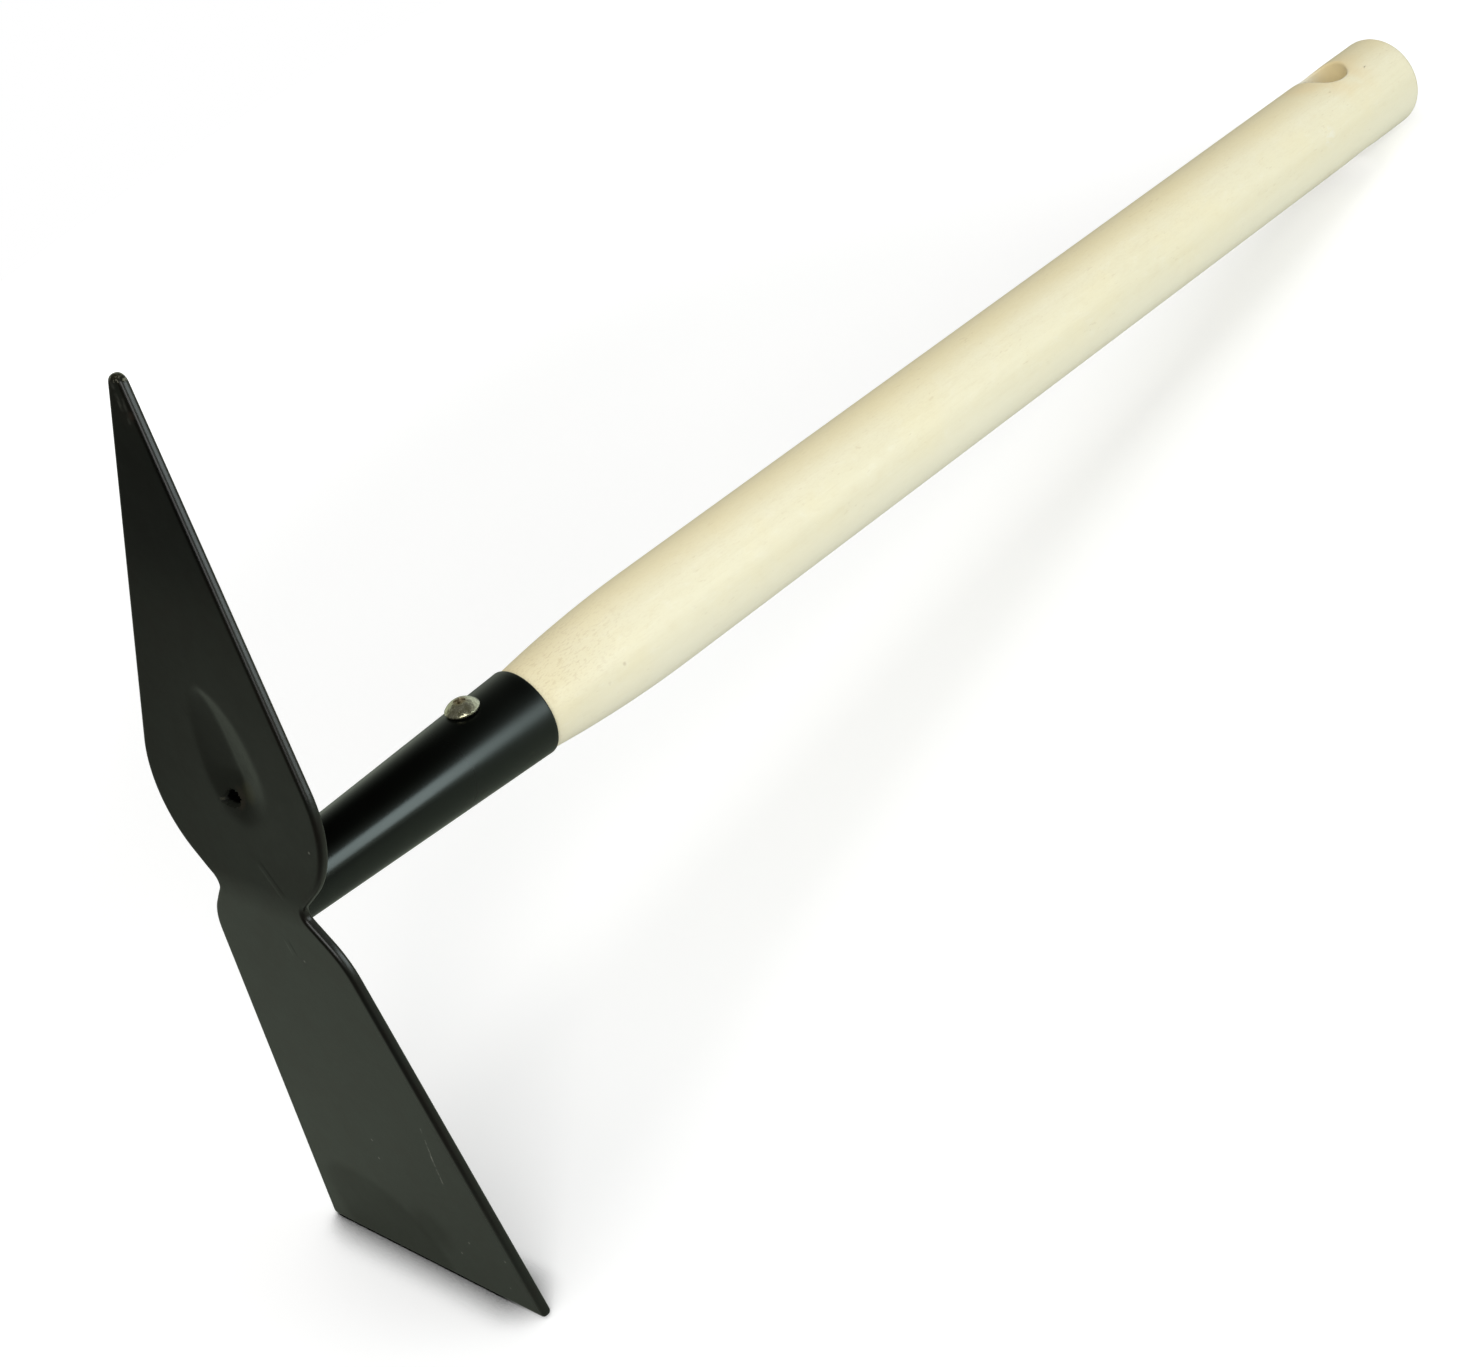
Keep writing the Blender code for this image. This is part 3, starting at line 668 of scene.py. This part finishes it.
def arc(centre, radius, start, end, steps):
    """Points along an arc in a plane, from one angle to the other."""
    return [
        (centre[0] + radius * math.cos(angle), centre[1] + radius * math.sin(angle))
        for angle in even_places(start, end, steps)
    ]


def turn_on_lathe(name, profile, steps, closed=False):
    """Turns a profile of (along, radius) points round the handle's axis."""
    piece = pen_down(name, (profile[0][0], profile[0][1], 0.0))
    for x, radius in profile[1:]:
        line_to((x, radius, 0.0))
    if closed:
        line_to((profile[0][0], profile[0][1], 0.0))
    bpy.ops.mesh.select_all(action="SELECT")
    bpy.ops.mesh.spin(steps=steps, angle=math.tau, center=(0, 0, 0), axis=(1, 0, 0))
    bpy.ops.mesh.select_all(action="SELECT")
    bpy.ops.mesh.remove_doubles(threshold=0.000002)
    bpy.ops.mesh.normals_make_consistent(inside=False)
    return piece


mouth_out = (SOCKET_END - SOCKET_MOUTH_ROUND, SOCKET_MOUTH_RADIUS - SOCKET_MOUTH_ROUND)
foot = PLATE_THICKNESS
profile = [(foot, socket_outside(foot) - SOCKET_WALL), (foot, socket_outside(foot))]
rings = even_places(SOCKET_RINGS_FROM, SOCKET_RINGS_TO, 14)
profile += [(x, socket_outside(x)) for x in rings]
profile += arc(mouth_out, SOCKET_MOUTH_ROUND, math.pi / 2.0, 0.0, 5)
profile.append((SOCKET_END, SOCKET_MOUTH_RADIUS - SOCKET_WALL))
socket = turn_on_lathe("hoe_socket", profile, TURNED_STEPS, closed=True)
bpy.ops.object.mode_set(mode="OBJECT")
for vertex in socket.data.vertices:
    if vertex.co.x < foot + 0.0001:
        vertex.co.x = plate_back(vertex.co.z)
bpy.ops.object.mode_set(mode="EDIT")
finish_mesh()

material, tone, place = new_finish("socket_lacquer")
flow = tone.grain(place, 0.10, 2.0)
toward_mouth = tone.parts(place)[0].step(40.0, 90.0)
dust = tone.grain(place, 1.4, 1.0).step(0.70, 0.80)
fine = tone.grain(place, 3.0, 2.0, 0.6)
colour = tone.mix(flow, GLOSS_DEEP, GLOSS_THIN)
colour = tone.mix(dust * 0.06, colour, GLOSS_DUST)
height = tone.grain(place, 0.5, 2.0) * 0.004 + fine * 0.0008
normal = tone.node("Bump", None, {"Height": height, "Strength": 1.0, "Distance": 0.001})
end_finish(tone, {
    "Base Color": colour,
    "Roughness": 0.18 + flow * 0.04 + toward_mouth * 0.16,
    "Specular Tint": GLOSS_TINT,
    "Normal": normal,
})
dress(socket, material, "black_gloss", "socket")

# Weld bead: an uneven seam of melted steel in the corner between the socket and the plate's
# back, under the same lacquer.
WELD_LEG = 0.0032
WELD_CROWN = ((0.0, 0.0), (0.0009, 0.0001), (0.0018, -0.0006), (0.0026, -0.0015))
WELD_TOE_HEIGHT = 0.0008
WELD_TOE_RUN = 0.0003
WELD_GAP = 0.00005
WELD_RIPPLES = 34
WELD_RIPPLE = 0.08
WELD_WANDER = 0.10
WELD_SHRINK = 0.14
WELD_DARK = rgb(0.0012, 0.0013, 0.0010)
WELD_LIGHT = rgb(0.0060, 0.0060, 0.0045)

foot_radius = socket_outside(foot)
toe = foot + WELD_LEG
profile = [(foot, foot_radius + WELD_GAP)]
profile += [(foot + run, foot_radius + WELD_LEG + raised) for run, raised in WELD_CROWN]
profile.append((toe, socket_outside(toe) + WELD_TOE_HEIGHT))
profile.append((toe + WELD_TOE_RUN, socket_outside(toe) + WELD_GAP))
weld = turn_on_lathe("hoe_weld", profile, TURNED_STEPS * 2, closed=True)
bpy.ops.object.mode_set(mode="OBJECT")
for vertex in weld.data.vertices:
    x, y, z = vertex.co
    around = math.atan2(y, z)
    wander = noise.noise(Vector((math.cos(around) * 2.0, math.sin(around) * 2.0, 3.0)))
    ripple = 0.5 + 0.5 * math.sin(around * WELD_RIPPLES + wander * 6.0)
    radius = math.hypot(y, z)
    proud = radius - socket_outside(x)
    grow = 1.0 + WELD_WANDER * wander + WELD_RIPPLE * ripple - WELD_SHRINK
    if proud > 2.0 * WELD_GAP:
        target = socket_outside(x) + proud * grow
        vertex.co.y *= target / radius
        vertex.co.z *= target / radius
    vertex.co.x = plate_back(vertex.co.z) + (x - foot) * grow
bpy.ops.object.mode_set(mode="EDIT")
finish_mesh()

material, tone, place = new_finish("weld_lacquer")
scale_marks = tone.grain(place, 0.9, 3.0, 0.6)
colour = tone.mix(scale_marks, WELD_DARK, WELD_LIGHT)
normal = tone.node("Bump", None, {"Height": scale_marks, "Strength": 0.4, "Distance": 0.0003})
end_finish(tone, {
    "Base Color": colour,
    "Roughness": 0.27 + scale_marks * 0.10,
    "Normal": normal,
})
dress(weld, material, "black_weld", "weld_bead")

# Handle: pale wood turned on a lathe, tapered into the socket, swelling to the grip, with a
# rounded butt and a hanging hole whose rims are rounded over. It is sanded and left bare.
HANDLE_IN_SOCKET = 0.068
HANDLE_GAP = 0.0003
NECK_RADIUS = 0.0121
NECK_LIP = 0.0012
SWELL_LENGTH = 0.050
GRIP_RADIUS = 0.0150
BUTT_RADIUS = 0.0152
BUTT_ROUND = 0.003
BUTT_FACE_RADIUS = 0.0100
HOLE_AT = TOOL_LENGTH - 0.0286
HOLE_RADIUS = 0.0080
HOLE_RIM_ROUND = 0.0012
HOLE_TURN = math.radians(8.0)
HOLE_RINGS = 7
HOLE_BLOCK = 12
HOLE_BLOCK_MARGIN = 0.0005
HANDLE_STEPS = 120
GRIME_PLACE = Vector((117.1, -13.5, 2.9))
LOWER_EDGE_DARK_PLACE = Vector((444.0, -9.2, -12.0))
SCUFFED_PLACE = Vector((444.0, -14.5, 4.2))
WOOD_BAND_DARK = rgb(0.830, 0.765, 0.535)
WOOD_BAND_LIGHT = rgb(0.930, 0.870, 0.645)
WOOD_CLOUD = rgb(0.91, 0.81, 0.51)
WOOD_TAN = rgb(0.74, 0.62, 0.36)
WOOD_PALE = rgb(0.95, 0.91, 0.74)
WOOD_FIBRE = rgb(0.62, 0.52, 0.30)
WOOD_TOP_PAINTED_SHADE = rgb(0.84, 0.71, 0.40)
WOOD_FLECK = rgb(0.50, 0.36, 0.17)
WOOD_PORE = rgb(0.56, 0.43, 0.24)
WOOD_PAINTED_LIGHT = rgb(1.0, 0.96, 0.77)
WOOD_AROUND_HOLE = rgb(0.86, 0.67, 0.36)
BORE_PAINTED_LIGHT = rgb(0.93, 0.94, 0.88)
BORE_PAINTED_SHADE = rgb(0.86, 0.70, 0.38)
WOOD_DARK_MARKS = rgb(0.45, 0.34, 0.18)
WOOD_SCUFFED = rgb(0.96, 0.95, 0.86)

cell = (HOLE_RADIUS + HOLE_RIM_ROUND + HOLE_BLOCK_MARGIN) / HOLE_BLOCK
hidden_end = SOCKET_END - HANDLE_IN_SOCKET
inside = SOCKET_WALL + HANDLE_GAP
start = SOCKET_END + NECK_LIP
profile = [(hidden_end, 0.0), (hidden_end, socket_outside(hidden_end) - inside)]
places = even_places(hidden_end + 0.01, SOCKET_END, 4)
profile += [(x, socket_outside(x) - inside) for x in places]
for share in even_places(0.0, 1.0, 20):
    radius = GRIP_RADIUS - (GRIP_RADIUS - NECK_RADIUS) * (1.0 - share) ** 2
    profile.append((start + (SWELL_LENGTH - NECK_LIP) * share, radius))
swell_end = SOCKET_END + SWELL_LENGTH


def grip_radius(x):
    """The handle's radius between the swell and the butt's rounding."""
    share = (x - swell_end) / (TOOL_LENGTH - BUTT_ROUND - swell_end)
    return GRIP_RADIUS + (BUTT_RADIUS - GRIP_RADIUS) * share


block_start = HOLE_AT - HOLE_BLOCK * cell
block_end = HOLE_AT + HOLE_BLOCK * cell
places = even_places(swell_end, block_start, 40)[1:]
places += even_places(block_start, block_end, 2 * HOLE_BLOCK)[1:]
places += even_places(block_end, TOOL_LENGTH - BUTT_ROUND, 12)[1:-1]
profile += [(x, grip_radius(x)) for x in places]
butt_corner = (TOOL_LENGTH - BUTT_ROUND, BUTT_RADIUS - BUTT_ROUND)
profile += arc(butt_corner, BUTT_ROUND, math.pi / 2.0, 0.0, 8)
profile += [(TOOL_LENGTH, radius) for radius in even_places(BUTT_FACE_RADIUS, 0.0, 4)]
handle = turn_on_lathe("hoe_handle", profile, HANDLE_STEPS)
step_angle = math.tau / HANDLE_STEPS
ring_open = HOLE_BLOCK - HOLE_RINGS


def round_hole(column, row, turn_by):
    """Where a point of the block round the hole goes, so that the block's rings turn round."""
    level = max(abs(column), abs(row))
    if level == abs(column):
        angle = row / level * math.pi / 4.0
        if column < 0:
            angle = math.pi - angle
    else:
        angle = math.pi / 2.0 - column / level * math.pi / 4.0
        if row < 0:
            angle = -angle
    share = (level - ring_open) / HOLE_RINGS
    roll = share * math.pi / 2.0
    away = HOLE_RADIUS + HOLE_RIM_ROUND * (1.0 - math.cos(roll))
    pressed = HOLE_RIM_ROUND * (1.0 - math.sin(roll))
    blend = share**3
    flat_x = away * math.cos(angle)
    flat_y = away * math.sin(angle)
    x = flat_x + (column * cell - flat_x) * blend
    y = flat_y + (row * step_angle * BUTT_RADIUS - flat_y) * blend
    outer = grip_radius(HOLE_AT + x)
    reach = math.sqrt(outer**2 - min(abs(y), outer * 0.95) ** 2)
    local = Vector((0.0, y, reach - pressed * (1.0 - blend)))
    local.rotate(Euler((-turn_by, 0.0, 0.0)))
    return Vector((HOLE_AT + x, local.y, local.z))


shape = bmesh.from_edit_mesh(handle.data)
opened = []
for vertex in shape.verts:
    column = round((vertex.co.x - HOLE_AT) / cell)
    around = math.atan2(vertex.co.y, vertex.co.z)
    for side in (0, 1):
        row = (around - HOLE_TURN + math.pi * side) / step_angle
        row = round((row + HANDLE_STEPS / 2.0) % HANDLE_STEPS - HANDLE_STEPS / 2.0)
        level = max(abs(column), abs(row))
        if level < ring_open:
            opened.append(vertex)
        elif level <= HOLE_BLOCK:
            vertex.co = round_hole(column, row, HOLE_TURN + math.pi * side)
bmesh.ops.delete(shape, geom=opened, context="VERTS")
bmesh.update_edit_mesh(handle.data)
pick(lambda edge: edge.is_boundary, "edges")
bpy.ops.mesh.bridge_edge_loops(number_cuts=12)
finish_mesh(angle=50.0)

material, tone, place = new_finish("handle_wood")
along, across, up = tone.parts(place)
long_place = tone.node("Mapping", None, {"Vector": place, "Scale": (0.06, 1.0, 1.0)})
fibre = tone.grain(long_place, 1.3, 4.0, 0.65)
band = tone.grain(long_place, 0.16, 3.0, 0.55, 0.5)
cloud = tone.grain(place, 0.035, 3.0, 0.6)
fleck_place = tone.node("Mapping", None, {"Vector": place, "Scale": (0.35, 1.0, 1.0)})
flecked = tone.grain(place, 0.08).step(0.42, 0.62)
fleck = tone.grain(fleck_place, 1.1, 1.0).step(0.66, 0.74) * flecked
mottle_place = tone.node("Mapping", None, {"Vector": place, "Scale": (0.4, 1.0, 1.0)})
mottle = tone.grain(mottle_place, 0.45, 4.0, 0.65, 0.4)
colour = tone.mix(band, WOOD_BAND_DARK, WOOD_BAND_LIGHT)
colour = tone.mix(cloud.step(0.40, 0.72) * 0.35, colour, WOOD_CLOUD)
colour = tone.mix(mottle.step(0.50, 0.78) * 0.16, colour, WOOD_TAN)
colour = tone.mix(mottle.step(0.48, 0.25) * 0.25, colour, WOOD_PALE)
colour = tone.mix(fibre.step(0.48, 0.80) * 0.10, colour, WOOD_FIBRE)
# Painted shade: the handle's top side is painted darker and warmer.
crown = (up / 15.0 + across / 30.0).step(0.45, 1.05)
colour = tone.mix(crown * 0.55, colour, WOOD_TOP_PAINTED_SHADE)
colour = tone.mix(fleck * 0.15, colour, WOOD_FLECK)
pore = tone.grain(fleck_place, 1.9, 2.0, 0.7).step(0.48, 0.68)
neck = (along.step(135.0, 96.0) * 0.8 + 0.2) * (up / 12.0 + across / 20.0).step(-0.9, 0.6)
colour = tone.mix(pore * neck * 0.38, colour, WOOD_PORE)
colour = tone.mix(neck * along.step(122.0, 96.0) * 0.30, colour, WOOD_TAN)
# Painted light: the handle's lower side is painted paler.
underside_painted_light = (across / -15.0 - up / 15.0).step(0.75, 1.45)
colour = tone.mix(underside_painted_light * 0.60, colour, WOOD_PAINTED_LIGHT)
hole_mm = HOLE_AT * MM
hole_rim = Vector((hole_mm, 0.0, 14.0))
beside = hole_rim - Vector((14.0, -3.0, 0.0))
ringed = (tone.spot(place, hole_rim, 19.0, 0.35) + tone.spot(place, beside, 9.0, 0.3)).clamp()
ringed = ringed * tone.grain(place, 0.10, 2.0).step(0.30, 0.60)
colour = tone.mix(ringed * 0.40, colour, WOOD_AROUND_HOLE)
# Painted light and shade in the hanging hole: its near side pale grey, its far wall darker tan.
slanted = across - up * math.tan(HOLE_TURN)
from_axis = (along - hole_mm) * (along - hole_mm) + slanted * slanted
bored = from_axis.step(80.0, 66.0)
bore_far_side = along.step(hole_mm - 4.0, hole_mm + 9.0)
colour = tone.mix(bored * 0.9, colour, tone.mix(bore_far_side, BORE_PAINTED_LIGHT, BORE_PAINTED_SHADE))
# A small brown mark near the neck, and darker pores in a patch on the lower edge near the butt.
dark_marks = tone.spot(place, GRIME_PLACE, 0.9, 0.3)
dark_marks = dark_marks + tone.spot(place, LOWER_EDGE_DARK_PLACE, 7.0, 0.3) * pore
colour = tone.mix(dark_marks.clamp() * 0.5, colour, WOOD_DARK_MARKS)
scuffed = tone.spot(place, SCUFFED_PLACE, 4.5, 0.3) * mottle.step(0.50, 0.58)
colour = tone.mix(scuffed * 0.35, colour, WOOD_SCUFFED)
height = fibre * 0.010 + mottle * 0.020 - fleck * 0.02
normal = tone.node("Bump", None, {"Height": height, "Strength": 1.0, "Distance": 0.001})
end_finish(tone, {
    "Base Color": colour,
    "Roughness": 0.36 + mottle * 0.16,
    "Normal": normal,
})
dress(handle, material, "pale_wood", "handle")

# Screw: one nickel-plated steel screw with a domed head and a cross recess, driven through the
# socket into the wood.
SCREW_TO_MOUTH = 0.0178
SCREW_HEAD_RADIUS = 0.00475
SCREW_HEAD_HEIGHT = 0.003
SCREW_HEAD_RIM = 0.0006
SCREW_HEAD_FOOT = ((0.0, 0.0002), (0.0001, 0.0001), (0.0003, 0.0))
SCREW_SHANK_RADIUS = 0.0020
SCREW_LENGTH = 0.018
SCREW_POINT_LENGTH = 0.004
SCREW_STEPS = 64
RECESS_SPAN = 0.0046
RECESS_SLOT = 0.0009
RECESS_DEPTH = 0.0016
RECESS_TAPER = 0.45
NICKEL_DULL = rgb(0.42, 0.40, 0.24)
NICKEL_CLEAN = rgb(0.72, 0.70, 0.50)
NICKEL_PAINTED_REFLECTION = rgb(0.80, 0.80, 0.72)
NICKEL_SCUFFED = rgb(0.16, 0.15, 0.08)
RECESS_DIRT = rgb(0.17, 0.12, 0.045)
UNDER_HEAD_PAINTED_SHADE = rgb(0.02, 0.02, 0.015)

crown = SCREW_HEAD_HEIGHT - SCREW_HEAD_RIM
dome = (SCREW_HEAD_RADIUS**2 + crown**2) / (2.0 * crown)
open_angle = math.asin(SCREW_HEAD_RADIUS / dome)
profile = [(-SCREW_LENGTH, 0.0), (-SCREW_LENGTH + SCREW_POINT_LENGTH, SCREW_SHANK_RADIUS)]
profile.append((0.0, SCREW_SHANK_RADIUS))
profile += [(raised, SCREW_HEAD_RADIUS - drawn_in) for raised, drawn_in in SCREW_HEAD_FOOT]
profile += [
    (SCREW_HEAD_HEIGHT - dome + dome * math.cos(angle), dome * math.sin(angle))
    for angle in even_places(open_angle, 0.0, 16)
]
screw = turn_on_lathe("hoe_screw", profile, SCREW_STEPS)
bpy.ops.object.mode_set(mode="OBJECT")
for side in (0, 1):
    bpy.ops.object.select_all(action="DESELECT")
    bpy.ops.mesh.primitive_cube_add(size=1.0)
    wing = bpy.context.object
    wing.data.transform(Matrix.Diagonal((2.0 * RECESS_DEPTH, RECESS_SPAN, RECESS_SLOT, 1.0)))
    for vertex in wing.data.vertices:
        if vertex.co.x < 0.0:
            vertex.co.y *= RECESS_TAPER
    wing.data.transform(Matrix.Rotation(math.pi / 4.0 + math.pi / 2.0 * side, 4, "X"))
    wing.data.transform(Matrix.Translation((SCREW_HEAD_HEIGHT, 0.0, 0.0)))
    bpy.context.view_layer.objects.active = screw
    cut = screw.modifiers.new("recess", "BOOLEAN")
    cut.operation = "DIFFERENCE"
    cut.solver = "EXACT"
    cut.object = wing
    bpy.ops.object.modifier_apply(modifier=cut.name)
    bpy.data.objects.remove(wing, do_unlink=True)
screw.select_set(True)
seat_x = SOCKET_END - SCREW_TO_MOUTH
seat = Vector((seat_x, 0.0, socket_outside(seat_x)))
slope = math.atan2(SOCKET_MOUTH_RADIUS - SOCKET_FOOT_RADIUS, SOCKET_END - PLATE_THICKNESS)
stand = Matrix.Rotation(-slope, 4, "Y") @ Matrix.Rotation(-math.pi / 2.0, 4, "Y")
screw.data.transform(Matrix.Translation(seat) @ stand)
bpy.ops.object.mode_set(mode="EDIT")
finish_mesh(angle=30.0)

material, tone, place = new_finish("screw_nickel")
handled = tone.grain(place, 0.9, 3.0, 0.6)
scuff = tone.grain(place, 2.6, 3.0, 0.7).step(0.50, 0.72)
along, _, up = tone.parts(place)
seat_mm = seat * MM
dirt_place = seat_mm + Vector((0.0, 0.0, SCREW_HEAD_HEIGHT * MM - 1.2))
dirt = tone.spot(place, dirt_place, 2.6, 0.55)
# Painted shade: the head's foot, next to the socket, is painted near black.
below = up.step(seat_mm.z + 0.45, seat_mm.z + 0.05)
# Painted reflection: the head is painted brighter on its side towards the butt.
bright = along.step(seat_mm.x - 1.5, seat_mm.x + 3.5)
colour = tone.mix(handled.step(0.35, 0.65), NICKEL_DULL, NICKEL_CLEAN)
colour = tone.mix(bright * 0.70, colour, NICKEL_PAINTED_REFLECTION)
colour = tone.mix(scuff * 0.5, colour, NICKEL_SCUFFED)
colour = tone.mix(dirt * 0.8, colour, RECESS_DIRT)
colour = tone.mix(below * 0.7, colour, UNDER_HEAD_PAINTED_SHADE)
normal = tone.node("Bump", None, {"Height": handled, "Strength": 0.5, "Distance": 0.0005})
end_finish(tone, {
    "Base Color": colour,
    "Roughness": 0.07 + handled * 0.08 + dirt * 0.30,
    "Metallic": 0.84 - dirt * 0.3,
    "Normal": normal,
})
dress(screw, material, "bright_steel", "fixing_screw")

# Studio: a pale floor disc with the object's soft shadow and a painted contact shadow in front of
# the blade's edge, a broad soft box low on the right, a larger one overhead, a fill beside the
# camera, and a surround that is white to the camera.
FLOOR_RADIUS = 0.55
FLOOR_PLACE = (-0.05, 0.06, 0.0)
FLOOR_COLOUR = rgb(0.75, 0.75, 0.74)
FLOOR_IN_GLOSS = rgb(0.355, 0.405, 0.325)
FLOOR_NEAR_CAMERA = rgb(0.08, 0.08, 0.08)
FLOOR_GLOW = 0.39
FLOOR_RIM_GLOW = 0.40
LIGHTS_AIM = Vector((-0.05, 0.0, 0.10))
WHITE = (1.0, 1.0, 1.0)
COOL_WHITE = (0.86, 0.97, 1.0)
SURROUND_TINT = rgb(0.91, 1.0, 0.84)
SURROUND_LIGHT = 0.38
SURROUND_ABOVE = 0.62
SURROUND_BELOW = 0.34


def add_soft_light(name, azimuth, elevation, distance, size, power, colour):
    """An area light that looks at the middle of the object from a direction in degrees."""
    light = bpy.data.lights.new(name, "AREA")
    light.shape = "SQUARE"
    light.size = size
    light.energy = power
    light.color = colour
    lamp = bpy.data.objects.new(name, light)
    bpy.context.scene.collection.objects.link(lamp)
    flat = math.cos(math.radians(elevation))
    away = Vector((
        flat * math.cos(math.radians(azimuth)),
        flat * math.sin(math.radians(azimuth)),
        math.sin(math.radians(elevation)),
    ))
    lamp.location = away * distance + LIGHTS_AIM
    lamp.rotation_euler = away.to_track_quat("Z", "Y").to_euler()
    return lamp


add_soft_light(
    "side_box",
    azimuth=-64.0,
    elevation=9.5,
    distance=1.5,
    size=0.68,
    power=6.4,
    colour=COOL_WHITE,
)
top_box = add_soft_light(
    "top_box",
    azimuth=0.0,
    elevation=89.0,
    distance=1.3,
    size=0.9,
    power=6.0,
    colour=WHITE,
)
top_box.visible_glossy = False
add_soft_light(
    "camera_fill",
    azimuth=-130.0,
    elevation=35.0,
    distance=1.6,
    size=0.9,
    power=9.0,
    colour=WHITE,
)

bpy.ops.object.select_all(action="DESELECT")
bpy.ops.mesh.primitive_circle_add(
    vertices=96, radius=FLOOR_RADIUS, location=FLOOR_PLACE, fill_type="NGON"
)
floor = bpy.context.object
floor.name = "floor"
material = bpy.data.materials.new("floor")
material.use_nodes = True
material.node_tree.nodes.clear()
tone = Tone(material.node_tree)
path = tone.node("LightPath", None, None, "Is Camera Ray")
place = tone.node("TexCoord", None, None, "Object")
floor_x, floor_y, _ = tone.parts(place)
near_camera = (floor_x * 0.8 + floor_y * 0.6).step(-0.20, -0.36)
in_gloss = tone.mix(near_camera, FLOOR_IN_GLOSS, FLOOR_NEAR_CAMERA)
shade = tone.mix(path.other("Is Glossy Ray"), FLOOR_COLOUR, in_gloss)
matt = tone.node("BsdfDiffuse", None, {"Color": shade})
reach = tone.node("VectorMath", {"operation": "LENGTH"}, {0: place}, 1)
brighter = reach.step(0.20, 0.50) * FLOOR_RIM_GLOW
glow = tone.node("Emission", None, {"Strength": FLOOR_GLOW + brighter})
lit = tone.node("AddShader", None, {0: matt, 1: glow})
# Painted shadow: in front of the blade's edge the floor turns black where the blade is near.
painted_contact_shadow = tone.node("AmbientOcclusion", {"samples": 8}, {"Distance": 0.015}, "AO")
black = tone.node("Emission", None, {"Strength": 0.0})
in_front = floor_x.step(-0.165, -0.175) * floor_y.step(-0.108, -0.085)
painted_contact_shadow = (1.0 - ((painted_contact_shadow - 0.50) / 0.38).clamp()) * in_front
lit = tone.node("MixShader", None, {0: painted_contact_shadow, 1: lit, 2: black})
shown = tone.node("MixShader", None, {0: path, 1: matt, 2: lit})
tone.node("OutputMaterial", None, {"Surface": shown})
floor.data.materials.append(material)
floor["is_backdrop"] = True

world = bpy.data.worlds.new("surround")
bpy.context.scene.world = world
world.use_nodes = True
world.node_tree.nodes.clear()
tone = Tone(world.node_tree)
look = tone.node("TexCoord", None, None, "Generated")
east, north, height = tone.parts(look)
above = height.step(0.80, -0.05) * SURROUND_ABOVE * east.step(-0.50, 0.05)
below = height.step(-0.11, -0.44) * east.step(0.05, -0.50) * north.step(-0.20, 0.35)
backdrop = above + below * SURROUND_BELOW
path = tone.node("LightPath", None, None, "Is Camera Ray")
glossy = path.other("Is Glossy Ray")
shown = path + path.other("Is Transmission Ray")
strength = glossy * backdrop + (1.0 - glossy) * SURROUND_LIGHT
strength = shown + (1.0 - shown.clamp()) * strength
tint = tone.mix(glossy, rgb(*WHITE), SURROUND_TINT)
light = tone.node("Background", None, {"Color": tint, "Strength": strength})
tone.node("OutputWorld", None, {"Surface": light})
bpy.context.scene.view_settings.view_transform = "Standard"

low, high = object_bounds()
